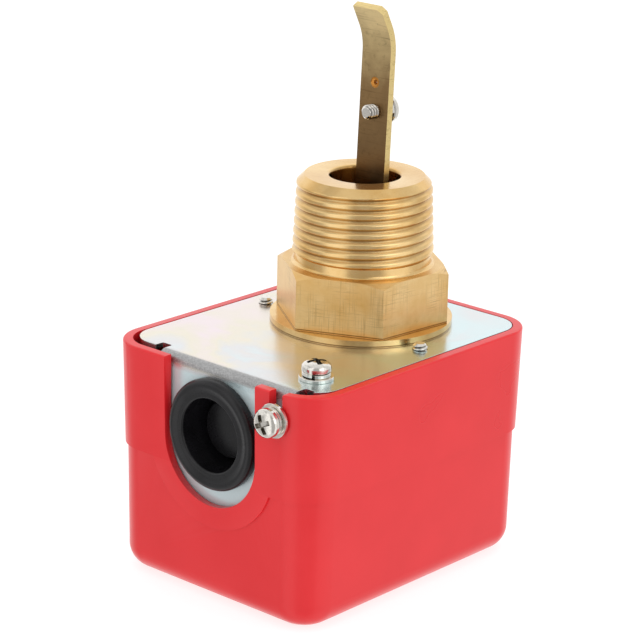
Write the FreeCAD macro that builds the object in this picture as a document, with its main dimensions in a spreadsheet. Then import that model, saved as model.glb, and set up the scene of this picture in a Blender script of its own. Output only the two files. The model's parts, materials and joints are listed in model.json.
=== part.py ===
# Paddle flow switch: a one-inch pipe-thread brass body on a steel mounting plate, with the
# lever mechanism, range spring and microswitch hung under the plate inside a moulded cover.
# Every size is a cell of the sheet "Sizes"; all lengths are in millimetres.
#
# Frame: origin on the pipe-thread axis at the foot of the thread, +Z out of the thread's mouth,
# -Y towards the cable entry, X across the housing. Most sub-parts are drawn in the plate's own
# frame, whose zero is the plate's upper face, and the lever's pieces in the frame of its pivot.
import FreeCAD, Part
import Sketcher
import math
import os
import re

doc = FreeCAD.newDocument("PaddleFlowSwitch")
sheet = doc.addObject("Spreadsheet::Sheet", "Sizes")

cells = {
    # pipe body
    "threadDia": (33.25, "one-inch pipe thread, major diameter"),
    "threadLen": (18.5, "threaded length"),
    "threadChamfer": (1.4, "lead-in chamfer of the thread"),
    "boreDia": (16, "water-side bore"),
    "boreChamfer": (0.75, "chamfer of the bore's mouth"),
    "neckDia": (32, "run-out neck under the thread"),
    "neckFillet": (0.8, "fillet from the neck to the hexagon's top"),
    "neckHeight": (2.3, "height of the neck"),
    "hexFlats": (36.2, "hexagon across flats"),
    "hexHeight": (12.9, "height of the hexagon"),
    "hexTurn": (24.7, "angle of the hexagon's first corner from +X"),
    "hexBevel": (30, "bevel angle of the hexagon's top corners"),
    "hexBevelOut": (0.7, "start of that bevel outside the flats' circle"),
    "seatDia": (42.9, "round seat under the hexagon"),
    "seatThick": (1.6, "thickness of the round seat"),
    "spigotDia": (25, "spigot through the plate"),
    "spigotLen": (8, "spigot length below the plate's upper face"),
    "lipDia": (11.4, "hole in the lip that carries the bellows"),
    "lipHeight": (2, "thickness of that lip"),
    # body lock nut
    "nutFlats": (32, "lock nut across flats"),
    "nutThick": (4, "lock nut thickness"),
    # cover
    "coverWidth": (64, "cover across X at the rim"),
    "coverLength": (80, "cover along Y at the rim"),
    "coverHeight": (56, "cover from rim to base"),
    "coverBack": (27.5, "thread axis to the cover's back face"),
    "coverWall": (2.3, "cover wall at the rim"),
    "coverFloor": (2.4, "cover floor"),
    "coverCorner": (10, "vertical corner radius of the cover"),
    "coverBaseEdge": (5.7, "radius of the edge round the base"),
    "rimEdge": (0.5, "rounding of the rim's outer edge"),
    "ledgeDepth": (25, "rim to the mould ledge"),
    "ledgeStep": (0.6, "how far the upper wall stands proud of the lower one"),
    "upperDraft": (1.4, "draft of the upper wall"),
    "lowerDraft": (0.8, "draft of the lower wall"),
    "innerDraft": (0.35, "draft of the cavity"),
    "notchRadius": (14, "radius of the U notch round the cable entry"),
    "notchCentreX": (1.2, "U notch centre across X"),
    "notchDepth": (18.3, "plate face down to the U notch's centre"),
    "notchFrame": (5.2, "width of the proud band round the U notch"),
    "slotWidth": (3.8, "open slot for the cover screw"),
    "ribThick": (2, "ribs inside the cover that the plate rests on"),
    "ribReach": (1.5, "how far those ribs stand off the wall"),
    "ribHeight": (14, "plate's underside down to the ribs' lower ends"),
    "ribFrontY": (-30, "front pair of side ribs along Y"),
    "ribRearY": (12, "rear pair of side ribs along Y"),
    "ribBackX": (17, "ribs on the back wall across X"),
    # mounting plate
    "plateThick": (1.2, "sheet thickness"),
    "plateGap": (0.35, "plate edge to cover wall"),
    "plateCorner": (7, "corner radius of the plate"),
    "flangeGap": (0.6, "cable flange to the cover's front wall at the rim"),
    "plateSetback": (1.65, "front edge of the plate behind the flange's face"),
    "bendRadius": (0.6, "inside radius of the bends"),
    "flangeLeft": (12.2, "plate's left edge to the cable flange"),
    "screwEdge": (0.7, "cable flange past the cover screw's hole"),
    "flangeDepth": (35, "cable flange below the plate face"),
    "flangeCorner": (4, "lower corner radius of the cable flange"),
    "reliefWidth": (3, "bend relief notch, width"),
    "reliefDepth": (4.15, "bend relief notch, depth"),
    # cable grommet
    "grommetDia": (26, "outer lip"),
    "grommetHole": (22, "hole in the flange"),
    "grommetCentreX": (1.2, "grommet centre across X"),
    "grommetDepth": (15.4, "plate face down to the grommet's centre"),
    "grommetLip": (2.9, "thickness of the outer lip"),
    "grommetInnerLip": (2.2, "thickness of the inner lip"),
    "grommetRecess": (17, "recess diameter at its mouth"),
    "grommetRecessFloor": (15.4, "recess diameter at its floor"),
    "grommetCup": (10.5, "depth of the recess"),
    "grommetWeb": (1.3, "rubber left behind the recess"),
    # pan-head screws and washers
    "screwDia": (3.5, "pan screw thread"),
    "screwHead": (6.7, "pan head diameter"),
    "screwHeadHeight": (2.5, "pan head height"),
    "screwLen": (8, "pan screw length under the head"),
    "washerDia": (7.9, "flat washer"),
    "washerThick": (0.8, "flat washer thickness"),
    "springWasherDia": (6.5, "split spring washer"),
    "springWasherThick": (1, "split spring washer thickness"),
    "washerFit": (0.1, "washer hole over the screw, radially"),
    "groundSide": (8.25, "earth screw to the plate's right edge"),
    "groundFront": (8.95, "earth screw to the plate's front edge"),
    "coverScrewSide": (10.6, "cover screw to the cover's right side"),
    "coverScrewDepth": (6.2, "plate face down to the cover screw"),
    "coverScrewGap": (0.1, "flat washer to the cover's rim face"),
    # lever
    "pivotDepth": (20, "plate face down to the pivot axis"),
    "leverLean": (2.2, "rest lean of the lever towards +Y"),
    "leverWidth": (8.6, "lever strip width"),
    "leverThick": (1.8, "lever strip thickness"),
    "leverOffset": (0.5, "strip's middle behind the pivot axis"),
    "leverFoot": (4.2, "pivot axis up to the strip's lower end"),
    "leverStraight": (83.6, "pivot axis up to the bend"),
    "leverBendRadius": (12.9, "bend radius at the strip's middle"),
    "leverBend": (30, "bend angle of the tip"),
    "leverTip": (5.2, "straight length past the bend"),
    "leverTipChamfer": (1.2, "clipped corner of the tip"),
    "paddleScrewHeight": (69.8, "pivot axis up to the paddle screw"),
    "paddleHoleHeight": (76.6, "pivot axis up to the free paddle hole"),
    "paddleHoleDia": (2.5, "free paddle hole"),
    "paddleScrewOut": (2.7, "paddle screw's end proud of the strip"),
    # rocker and pivot
    "pinDia": (3, "pivot pin"),
    "pinPlay": (0.05, "running clearance on the pin, radially"),
    "hubDia": (7, "rocker hub"),
    "hubPlay": (0.4, "hub end to frame cheek"),
    "armThick": (2.5, "rocker arm thickness"),
    "armWidth": (8, "rocker arm width"),
    "frontArm": (17, "rocker's spring arm, from the pivot"),
    "rearArm": (17.4, "rocker's switch arm, from the pivot"),
    "uprightThick": (2.4, "upright that carries the lever"),
    "uprightHeight": (11, "top of the upright above the pivot"),
    "rivetDia": (2.2, "lever rivets"),
    "rivetLow": (6, "pivot axis up to the lower rivet"),
    "rivetHigh": (9.2, "pivot axis up to the upper rivet"),
    "rivetHead": (3.8, "lever rivet heads"),
    "rivetHeadHeight": (0.8, "lever rivet head height"),
    "pinOut": (1.8, "pivot pin past each cheek"),
    "clipDia": (6, "pin retaining clips"),
    "clipThick": (0.7, "thickness of the clips"),
    # mechanism frame
    "cheekGap": (0.7, "frame's cheeks to the frame screw heads"),
    "frameThick": (1.5, "frame sheet"),
    "frameFront": (13, "cheek front edge before the thread axis"),
    "webFront": (8, "thread axis to the web's front face"),
    "frameDepth": (46, "plate face down to the shelf"),
    "windowDepth": (23, "plate face down to the web's top edge"),
    "windowMargin": (3.5, "web strip left beside the window"),
    "cheekClip": (9, "clipped lower front corner of the cheeks"),
    "footMargin": (2.9, "feet past the frame screws"),
    "footLength": (10, "feet along Y"),
    "footY": (-7, "frame screws along Y"),
    "footScrewGap": (1.8, "frame screws to the body's round seat"),
    "footScrewOut": (1.5, "frame screw ends above the plate"),
    "footScrewDia": (3.5, "frame screws"),
    "footScrewHead": (5.6, "frame screw heads"),
    "footScrewHeadHeight": (2.2, "frame screw head height"),
    # range spring group
    "rangeY": (14, "range screw before the pivot axis"),
    "rangeDia": (4, "range screw"),
    "rangePlay": (0.1, "range screw in the shelf and in its nut, radially"),
    "rangeHead": (8, "range screw head"),
    "rangeHeadHeight": (3, "range screw head height"),
    "rangeTop": (27.5, "plate face down to the range screw's end"),
    "rangeNutWidth": (12.6, "range nut, square"),
    "rangeNutThick": (3.2, "range nut thickness"),
    "rangeNutDepth": (40, "plate face down to the range nut's top"),
    "rangeGuideGap": (0.2, "range nut to its guide tab"),
    "shelfFront": (20, "shelf's front edge before the thread axis"),
    "guideTop": (31, "plate face down to the guide tab's top"),
    "springWire": (1.1, "range spring wire"),
    "springDia": (8, "range spring, outside"),
    "springTurns": (4.5, "range spring turns"),
    "springTop": (21.1, "plate face down to the spring's upper end"),
    # microswitch
    "insulatorThick": (0.4, "insulating card behind the microswitch"),
    "caseWidth": (27.8, "microswitch case across X"),
    "caseThick": (10.3, "microswitch case along Y"),
    "caseHeight": (15.9, "microswitch case height"),
    "caseDepth": (23.3, "plate face down to the case's top"),
    "caseEdge": (0.8, "rounding of the case"),
    "earWidth": (3.2, "raised leaf ear on the case"),
    "earHeight": (1.3, "height of that ear"),
    "leafThick": (0.4, "switch leaf"),
    "leafWidth": (4.4, "switch leaf along Y"),
    "leafGap": (0.15, "leaf to the ear and to the plunger"),
    "plungerDia": (2.4, "switch plunger"),
    "plungerX": (-3.6, "switch plunger across X"),
    "plungerOut": (0.65, "plunger above the case"),
    "plungerIn": (1.6, "plunger well below the case's top"),
    "caseScrewX": (11.1, "switch screws across X"),
    "caseScrewDrop": (12.2, "case top down to the switch screws"),
    "caseScrewDia": (2.9, "switch screws"),
    "caseScrewHead": (5.2, "switch screw heads"),
    "caseScrewHeadHeight": (1.8, "switch screw head height"),
    "tabPitch": (9.2, "terminal tabs, spacing across X"),
    "tabWidth": (6.6, "terminal tab width"),
    "tabThick": (0.9, "terminal tab thickness"),
    "tabLength": (8.4, "terminal tab below the case"),
    "tabScrewDia": (3, "terminal screws"),
    "tabScrewHead": (5.4, "terminal screw heads"),
    "tabScrewHeadHeight": (1.8, "terminal screw head height"),
    "tabScrewDrop": (4.6, "case bottom down to the terminal screws"),
    # bellows
    "bellowsDia": (14.6, "bellows over its crests"),
    "bellowsRoot": (12.4, "bellows over its roots"),
    "bellowsInner": (10.6, "bellows inside"),
    "bellowsTop": (6, "bellows end above the plate face"),
    "bellowsCount": (6, "convolutions"),
    "capDia": (12, "bellows cap on the lever"),
    "capThick": (1, "bellows cap thickness"),
    "capGap": (0.9, "cap above the bellows"),
}
for row, (alias, (value, note)) in enumerate(cells.items(), start=1):
    sheet.set(f"A{row}", note)
    sheet.set(f"B{row}", str(value))
    sheet.setAlias(f"B{row}", alias)
doc.recompute()


def bound(text):
    """Turn the sheet's bare names in a formula into references to its cells."""
    return re.sub(r"[A-Za-z]\w*", lambda m: "Sizes." + m[0] if m[0] in cells else m[0], str(text))


def number(text):
    return float(sheet.evalExpression(bound(text)))


def bind(thing, **formulas):
    """Bind properties to formulas; a double underscore stands for the dot of a sub-property."""
    for name, formula in formulas.items():
        thing.setExpression(name.replace("__", "."), bound(formula))


# Derived levels, as formulas in the plate's frame
plateLevel = "-(seatThick + hexHeight + neckHeight)"
threadFoot = "(seatThick + hexHeight + neckHeight)"
flangeFace = "(coverLength - coverBack - coverWall - flangeGap)"
plateHalf = "(coverWidth / 2 - coverWall - plateGap)"
rearFace = "(coverBack - coverWall - plateGap)"
groundX = f"({plateHalf} - groundSide)"
groundY = f"(groundFront + plateSetback - {flangeFace})"
coverScrewX = "(coverWidth / 2 - coverScrewSide)"
flangeStart = f"(flangeLeft - {plateHalf})"
flangeEnd = f"({coverScrewX} + screwDia / 2 + screwEdge)"
footScrewX = "sqrt((seatDia / 2 + footScrewGap + footScrewDia / 2)^2 - footY^2)"
frameHalf = f"({footScrewX} - footScrewHead / 2 - cheekGap - frameThick)"
webBack = "(webFront + frameThick)"
caseFront = "(webFront + frameThick + insulatorThick)"
caseMiddle = "(webFront + frameThick + insulatorThick + caseThick / 2)"
caseBottom = "(caseDepth + caseHeight)"

xAxis = FreeCAD.Vector(1, 0, 0)
yAxis = FreeCAD.Vector(0, 1, 0)
zAxis = FreeCAD.Vector(0, 0, 1)
towardsFront = FreeCAD.Rotation(xAxis, 90)
towardsBack = FreeCAD.Rotation(xAxis, -90)
towardsRight = FreeCAD.Rotation(yAxis, 90)
towardsLeft = FreeCAD.Rotation(yAxis, -90)
downwards = FreeCAD.Rotation(xAxis, 180)
upright = FreeCAD.Rotation()

nodes = {}


def keep(name, thing, place=("0", "0", "0"), turn=None, angle=None):
    """Name a finished sub-part and set its place, measured from the plate's upper face."""
    thing.Label = name
    if turn is not None:
        thing.Placement.Rotation = turn
    if angle is not None:
        bind(thing, Placement__Rotation__Angle=angle)
    bind(thing, Placement__Base__x=place[0], Placement__Base__y=place[1],
         Placement__Base__z=f"{place[2]} + {plateLevel}")
    nodes[name] = thing
    return thing


def keepOnLever(name, thing):
    """Name a finished sub-part drawn in the lever's frame: zero on the pivot, +Z up the strip."""
    lean = FreeCAD.Rotation(FreeCAD.Vector(-1, 0, 0), number("leverLean"))
    return keep(name, thing, ("0", "0", "-pivotDepth"), lean, "leverLean")


# ---- sketching -------------------------------------------------------------------------------
def newBody(name):
    return doc.addObject("PartDesign::Body", name)


def newSketch(body, plane, name, offset=None):
    """A sketch on one of the body's own origin planes, moved along that plane's normal."""
    sketch = body.newObject("Sketcher::SketchObject", name)
    support = next(f for f in body.Origin.OriginFeatures if f.Role == plane)
    sketch.AttachmentSupport = [(support, "")]
    sketch.MapMode = "FlatFace"
    if offset is not None:
        bind(sketch, AttachmentOffset__Base__z=offset)
    return sketch


def pin(sketch, kind, geometry, point, formula):
    """Hold one coordinate of a point, measured from the sketch's origin."""
    rule = Sketcher.Constraint(kind, -1, 1, geometry, point, number(formula))
    index = sketch.addConstraint(rule)
    sketch.setExpression(f"Constraints[{index}]", bound(formula))


def pinPoint(sketch, geometry, point, x, y):
    pin(sketch, "DistanceX", geometry, point, x)
    pin(sketch, "DistanceY", geometry, point, y)


def polygon(sketch, corners):
    """A closed outline of straight lines through corners given as pairs of formulas."""
    places = [FreeCAD.Vector(number(x), number(y), 0) for x, y in corners]
    first = sketch.GeometryCount
    count = len(places)
    for i in range(count):
        sketch.addGeometry(Part.LineSegment(places[i], places[(i + 1) % count]), False)
    for i in range(count):
        joint = Sketcher.Constraint("Coincident", first + i, 2, first + (i + 1) % count, 1)
        sketch.addConstraint(joint)
        pinPoint(sketch, first + i, 1, *corners[i])


def rectangle(sketch, left, right, low, high):
    polygon(sketch, [(left, low), (right, low), (right, high), (left, high)])


def roundedRectangle(sketch, left, right, low, high, radius):
    """Four sides joined by quarter arcs, each arc held by its centre, radius and two ends."""
    reach = number(radius)
    corners = [(f"{right} - {radius}", f"{high} - {radius}", 0),
               (f"{left} + {radius}", f"{high} - {radius}", 1),
               (f"{left} + {radius}", f"{low} + {radius}", 2),
               (f"{right} - {radius}", f"{low} + {radius}", 3)]
    arcs = []
    for x, y, quarter in corners:
        centre = FreeCAD.Vector(number(x), number(y), 0)
        start = quarter * math.pi / 2
        arc = Part.ArcOfCircle(Part.Circle(centre, zAxis, reach), start, start + math.pi / 2)
        arcs.append((arc, sketch.addGeometry(arc, False)))
    for (arc, index), (following, after) in zip(arcs, arcs[1:] + arcs[:1]):
        side = Part.LineSegment(arc.EndPoint, following.StartPoint)
        line = sketch.addGeometry(side, False)
        sketch.addConstraint(Sketcher.Constraint("Coincident", index, 2, line, 1))
        sketch.addConstraint(Sketcher.Constraint("Coincident", line, 2, after, 1))
    for (arc, index), (x, y, quarter) in zip(arcs, corners):
        rule = sketch.addConstraint(Sketcher.Constraint("Radius", index, reach))
        sketch.setExpression(f"Constraints[{rule}]", bound(radius))
        pinPoint(sketch, index, 3, x, y)
        # an even quarter starts level with its centre and ends above or below it
        level, above = (1, 2) if quarter % 2 == 0 else (2, 1)
        pin(sketch, "DistanceY", index, level, y)
        pin(sketch, "DistanceX", index, above, x)


def circle(sketch, x, y, radius):
    centre = FreeCAD.Vector(number(x), number(y), 0)
    index = sketch.addGeometry(Part.Circle(centre, zAxis, number(radius)), False)
    rule = sketch.addConstraint(Sketcher.Constraint("Radius", index, number(radius)))
    sketch.setExpression(f"Constraints[{rule}]", bound(radius))
    pinPoint(sketch, index, 3, x, y)


def extrude(body, kind, sketch, length, backwards=False, both=False, taper=None):
    """A pad or pocket of a sketch; both=True spreads the length to either side of it."""
    feature = body.newObject(f"PartDesign::{kind}", f"{kind}_{sketch.Name}")
    feature.Profile = sketch
    feature.Reversed = backwards
    feature.Midplane = both
    bind(feature, Length=length)
    if taper is not None:
        bind(feature, TaperAngle=taper)
    doc.recompute()
    return feature


def revolve(body, kind, sketch):
    """A full turn of a sketch about its own upright axis."""
    feature = body.newObject(f"PartDesign::{kind}", f"{kind}_{sketch.Name}")
    feature.Profile = sketch
    feature.ReferenceAxis = (sketch, ["V_Axis"])
    feature.Angle = 360
    doc.recompute()
    return feature


def roundEdges(body, kind, chosen, size):
    """Fillet or chamfer the edges of the body's tip that a test picks out."""
    tip = body.Tip
    names = [f"Edge{i}" for i, edge in enumerate(tip.Shape.Edges, start=1) if chosen(edge)]
    feature = body.newObject(f"PartDesign::{kind}", f"{kind}_{tip.Name}")
    feature.Base = (tip, names)
    bind(feature, **{"Radius" if kind == "Fillet" else "Size": size})
    doc.recompute()
    return feature


def near(a, b, slack=0.02):
    return abs(a - b) < slack


def alongAxis(edge, axis, slope=0.08):
    """True for a straight edge that runs along an axis, give or take a mould draft."""
    if len(edge.Vertexes) < 2:
        return False
    chord = edge.Vertexes[1].Point - edge.Vertexes[0].Point
    straight = edge.Length < chord.Length * 1.0001
    return straight and abs(chord.dot(axis)) > (1 - slope) * chord.Length


# ---- primitives ------------------------------------------------------------------------------
def block(name, low, size):
    thing = doc.addObject("Part::Box", name)
    bind(thing, Length=size[0], Width=size[1], Height=size[2])
    bind(thing, Placement__Base__x=low[0], Placement__Base__y=low[1], Placement__Base__z=low[2])
    return thing


def rod(name, radius, length, place, turn=upright):
    """A cylinder from a place, along +Z turned by a rotation."""
    thing = doc.addObject("Part::Cylinder", name)
    thing.Placement.Rotation = turn
    bind(thing, Radius=radius, Height=length)
    bind(thing, Placement__Base__x=place[0], Placement__Base__y=place[1],
         Placement__Base__z=place[2])
    return thing


def fuse(name, pieces):
    thing = doc.addObject("Part::MultiFuse", name)
    thing.Shapes = pieces
    thing.Refine = True
    return thing


def cut(name, base, tool):
    thing = doc.addObject("Part::Cut", name)
    thing.Base = base
    thing.Tool = tool
    return thing


def group(name, pieces):
    """Like fasteners kept as separate solids of one sub-part."""
    thing = doc.addObject("Part::Compound", name)
    thing.Links = pieces
    return thing


def along(place, turn, distance):
    """The place a distance further along a turned +Z, as formulas."""
    step = turn.multVec(zAxis)
    return tuple(f"{p} + ({distance}) * ({round(s)})" for p, s in zip(place, step))


def panScrew(name, place, turn, shank, length, head, height):
    """A screw seated with the underside of its head at a place, its head along the turned +Z."""
    back = along(place, turn, f"-({length})")
    stem = rod(name + "_stem", f"{shank} / 2", f"{length} + {height} / 2", back, turn)
    cap = rod(name + "_head", f"{head} / 2", height, place, turn)
    rounded = doc.addObject("Part::Fillet", name + "_crown")
    rounded.Base = cap
    doc.recompute()
    outer = turn.multVec(zAxis)
    crown = max(range(len(cap.Shape.Edges)),
                key=lambda i: (isinstance(cap.Shape.Edges[i].Curve, Part.Circle),
                               cap.Shape.Edges[i].CenterOfMass.dot(outer)))
    radius = 0.45 * number(height)
    rounded.Edges = [(crown + 1, radius, radius)]
    return fuse(name, [stem, rounded])


def ring(name, place, turn, outer, inner, thick):
    disc = rod(name + "_disc", f"({outer}) / 2", thick, place, turn)
    hole = rod(name + "_hole", f"({inner}) / 2", f"{thick} + 2", along(place, turn, "-1"), turn)
    return cut(name, disc, hole)


# ---- pipe body -------------------------------------------------------------------------------
def hexagon(sketch, flats, turn):
    corners = []
    for k in range(6):
        angle = f"({turn} + {60 * k}) * 1 deg"
        reach = f"{flats} / 2 / cos(30 deg)"
        corners.append((f"{reach} * cos({angle})", f"{reach} * sin({angle})"))
    polygon(sketch, corners)


def makeBrassBody():
    body = newBody("BrassBody")
    top = f"{threadFoot} + threadLen"
    turned = newSketch(body, "XZ_Plane", "TurnedProfile")
    polygon(turned, [
        ("lipDia / 2", "-spigotLen"),
        ("spigotDia / 2", "-spigotLen"),
        ("spigotDia / 2", "0"),
        ("seatDia / 2", "0"),
        ("seatDia / 2", "seatThick"),
        ("neckDia / 2", "seatThick"),
        ("neckDia / 2", threadFoot),
        ("threadDia / 2", threadFoot),
        ("threadDia / 2", f"{top} - threadChamfer"),
        ("threadDia / 2 - threadChamfer", top),
        ("boreDia / 2 + boreChamfer", top),
        ("boreDia / 2", f"{top} - boreChamfer"),
        ("boreDia / 2", "lipHeight - spigotLen"),
        ("lipDia / 2", "lipHeight - spigotLen"),
    ])
    revolve(body, "Revolution", turned)
    spanner = newSketch(body, "XY_Plane", "SpannerHexagon", "seatThick")
    hexagon(spanner, "hexFlats", "hexTurn")
    # the hexagon is a collar round the neck, so that the bore stays open
    circle(spanner, "0", "0", "neckDia / 2 - 1")
    extrude(body, "Pad", spanner, "hexHeight")
    bevel = newSketch(body, "XZ_Plane", "CornerBevel")
    start = "hexFlats / 2 + hexBevelOut"
    outside = "hexFlats * 0.62"
    hexTop = "seatThick + hexHeight"
    drop = f"({outside} - {start}) * tan(hexBevel * 1 deg)"
    polygon(bevel, [
        (start, hexTop),
        (outside, f"{hexTop} - {drop}"),
        (outside, f"{hexTop} + 1"),
        (start, f"{hexTop} + 1"),
    ])
    revolve(body, "Groove", bevel)
    roundEdges(body, "Fillet", lambda e: near(e.BoundBox.ZMin, number(hexTop))
               and near(e.BoundBox.ZMax, number(hexTop))
               and near(e.BoundBox.XMax, number("neckDia / 2")), "neckFillet")
    keep("brass_body", body)


def makeLockNut():
    prism = doc.addObject("Part::Prism", "NutPrism")
    prism.Polygon = 6
    bind(prism, Circumradius="nutFlats / 2 / cos(30 deg)", Height="nutThick",
         Placement__Base__z="-(plateThick + nutThick)")
    hole = rod("NutHole", "spigotDia / 2", "nutThick + 2", ("0", "0", "-(plateThick + nutThick + 1)"))
    keep("body_lock_nut", cut("LockNut", prism, hole))


def makeBellows():
    body = newBody("Bellows")
    foot = "(lipHeight - spigotLen)"
    pitch = f"((bellowsTop - {foot}) / bellowsCount)"
    corners = [("bellowsInner / 2", foot)]
    for k in range(int(number("bellowsCount"))):
        corners.append(("bellowsRoot / 2", f"{foot} + {k} * {pitch}"))
        corners.append(("bellowsDia / 2", f"{foot} + {k + 0.3} * {pitch}"))
        corners.append(("bellowsDia / 2", f"{foot} + {k + 0.7} * {pitch}"))
    corners.append(("bellowsRoot / 2", "bellowsTop"))
    corners.append(("bellowsInner / 2", "bellowsTop"))
    wave = newSketch(body, "XZ_Plane", "BellowsWave")
    polygon(wave, corners)
    revolve(body, "Revolution", wave)
    keep("bellows", body)


# ---- mounting plate --------------------------------------------------------------------------
def makePlate():
    body = newBody("MountingPlate")
    frontEdge = f"-({flangeFace} - plateSetback)"
    outline = newSketch(body, "XY_Plane", "PlateOutline")
    rectangle(outline, f"-{plateHalf}", plateHalf, frontEdge, rearFace)
    extrude(body, "Pad", outline, "plateThick", backwards=True)
    roundEdges(body, "Fillet", lambda e: alongAxis(e, zAxis), "plateCorner")

    # the flange's sheet starts well inside the plate, behind the start of the corner arcs
    flangeRoot = f"{frontEdge} + plateThick"
    cableFlange = newSketch(body, "YZ_Plane", "CableFlange", f"({flangeStart} + {flangeEnd}) / 2")
    polygon(cableFlange, [
        (flangeRoot, "0"),
        (f"-{flangeFace}", "0"),
        (f"-{flangeFace}", "-flangeDepth"),
        (f"-{flangeFace} + plateThick", "-flangeDepth"),
        (f"-{flangeFace} + plateThick", "-plateThick"),
        (flangeRoot, "-plateThick"),
    ])
    extrude(body, "Pad", cableFlange, f"{flangeEnd} - {flangeStart}", both=True)

    # relief notches beside the bend
    relief = newSketch(body, "XY_Plane", "BendRelief")
    frontSpan = (f"-({flangeFace} + 1)", f"-{flangeFace} + reliefDepth")
    rectangle(relief, f"{flangeStart} - reliefWidth", flangeStart, *frontSpan)
    rectangle(relief, flangeEnd, f"{flangeEnd} + reliefWidth", *frontSpan)
    extrude(body, "Pocket", relief, "plateThick")
    notchEnd = number(f"-{flangeFace} + reliefDepth")
    roundEdges(body, "Fillet", lambda e: alongAxis(e, zAxis)
               and near(e.CenterOfMass.y, notchEnd), "reliefWidth * 0.2")

    # the bend: its outside edge on the upper face, its inside edge under it
    front = -number(flangeFace)
    thick = number("plateThick")
    roundEdges(body, "Fillet", lambda e: alongAxis(e, xAxis) and near(e.CenterOfMass.z, 0)
               and near(e.CenterOfMass.y, front), "bendRadius + plateThick")
    roundEdges(body, "Fillet", lambda e: alongAxis(e, xAxis) and near(e.CenterOfMass.z, -thick)
               and near(e.CenterOfMass.y, front + thick), "bendRadius")
    roundEdges(body, "Fillet", lambda e: alongAxis(e, yAxis)
               and near(e.CenterOfMass.z, -number("flangeDepth")), "flangeCorner")

    holes = newSketch(body, "XY_Plane", "PlateHoles")
    circle(holes, "0", "0", "spigotDia / 2")
    circle(holes, footScrewX, "footY", "footScrewDia / 2")
    circle(holes, f"-{footScrewX}", "footY", "footScrewDia / 2")
    circle(holes, groundX, groundY, "screwDia / 2")
    extrude(body, "Pocket", holes, "plateThick + 1")
    entry = newSketch(body, "XZ_Plane", "FlangeHoles", flangeFace)
    circle(entry, "grommetCentreX", "-grommetDepth", "grommetHole / 2")
    circle(entry, coverScrewX, "-coverScrewDepth", "screwDia / 2")
    extrude(body, "Pocket", entry, "plateThick + 0.5")
    keep("mounting_plate", body)


# ---- cover -----------------------------------------------------------------------------------
def notch(sketch, x, y, radius, top):
    """A U-shaped outline: a half circle below and straight sides up to a level."""
    centre = FreeCAD.Vector(number(x), number(y), 0)
    reach = number(radius)
    high = number(top)
    arc = Part.ArcOfCircle(Part.Circle(centre, zAxis, reach), math.pi, 2 * math.pi)
    places = [
        FreeCAD.Vector(centre.x + reach, centre.y, 0),
        FreeCAD.Vector(centre.x + reach, high, 0),
        FreeCAD.Vector(centre.x - reach, high, 0),
        FreeCAD.Vector(centre.x - reach, centre.y, 0),
    ]
    first = sketch.addGeometry(arc, False)
    for start, end in zip(places, places[1:]):
        sketch.addGeometry(Part.LineSegment(start, end), False)
    joints = [(first, 2, first + 1, 1), (first + 1, 2, first + 2, 1),
              (first + 2, 2, first + 3, 1), (first + 3, 2, first, 1)]
    for joint in joints:
        sketch.addConstraint(Sketcher.Constraint("Coincident", *joint))
    rule = sketch.addConstraint(Sketcher.Constraint("Radius", first, reach))
    sketch.setExpression(f"Constraints[{rule}]", bound(radius))
    pinPoint(sketch, first, 3, x, y)
    pinPoint(sketch, first + 2, 1, f"{x} + {radius}", top)
    pinPoint(sketch, first + 3, 1, f"{x} - {radius}", top)
    for point in (1, 2):
        pin(sketch, "DistanceY", first, point, y)


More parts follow.
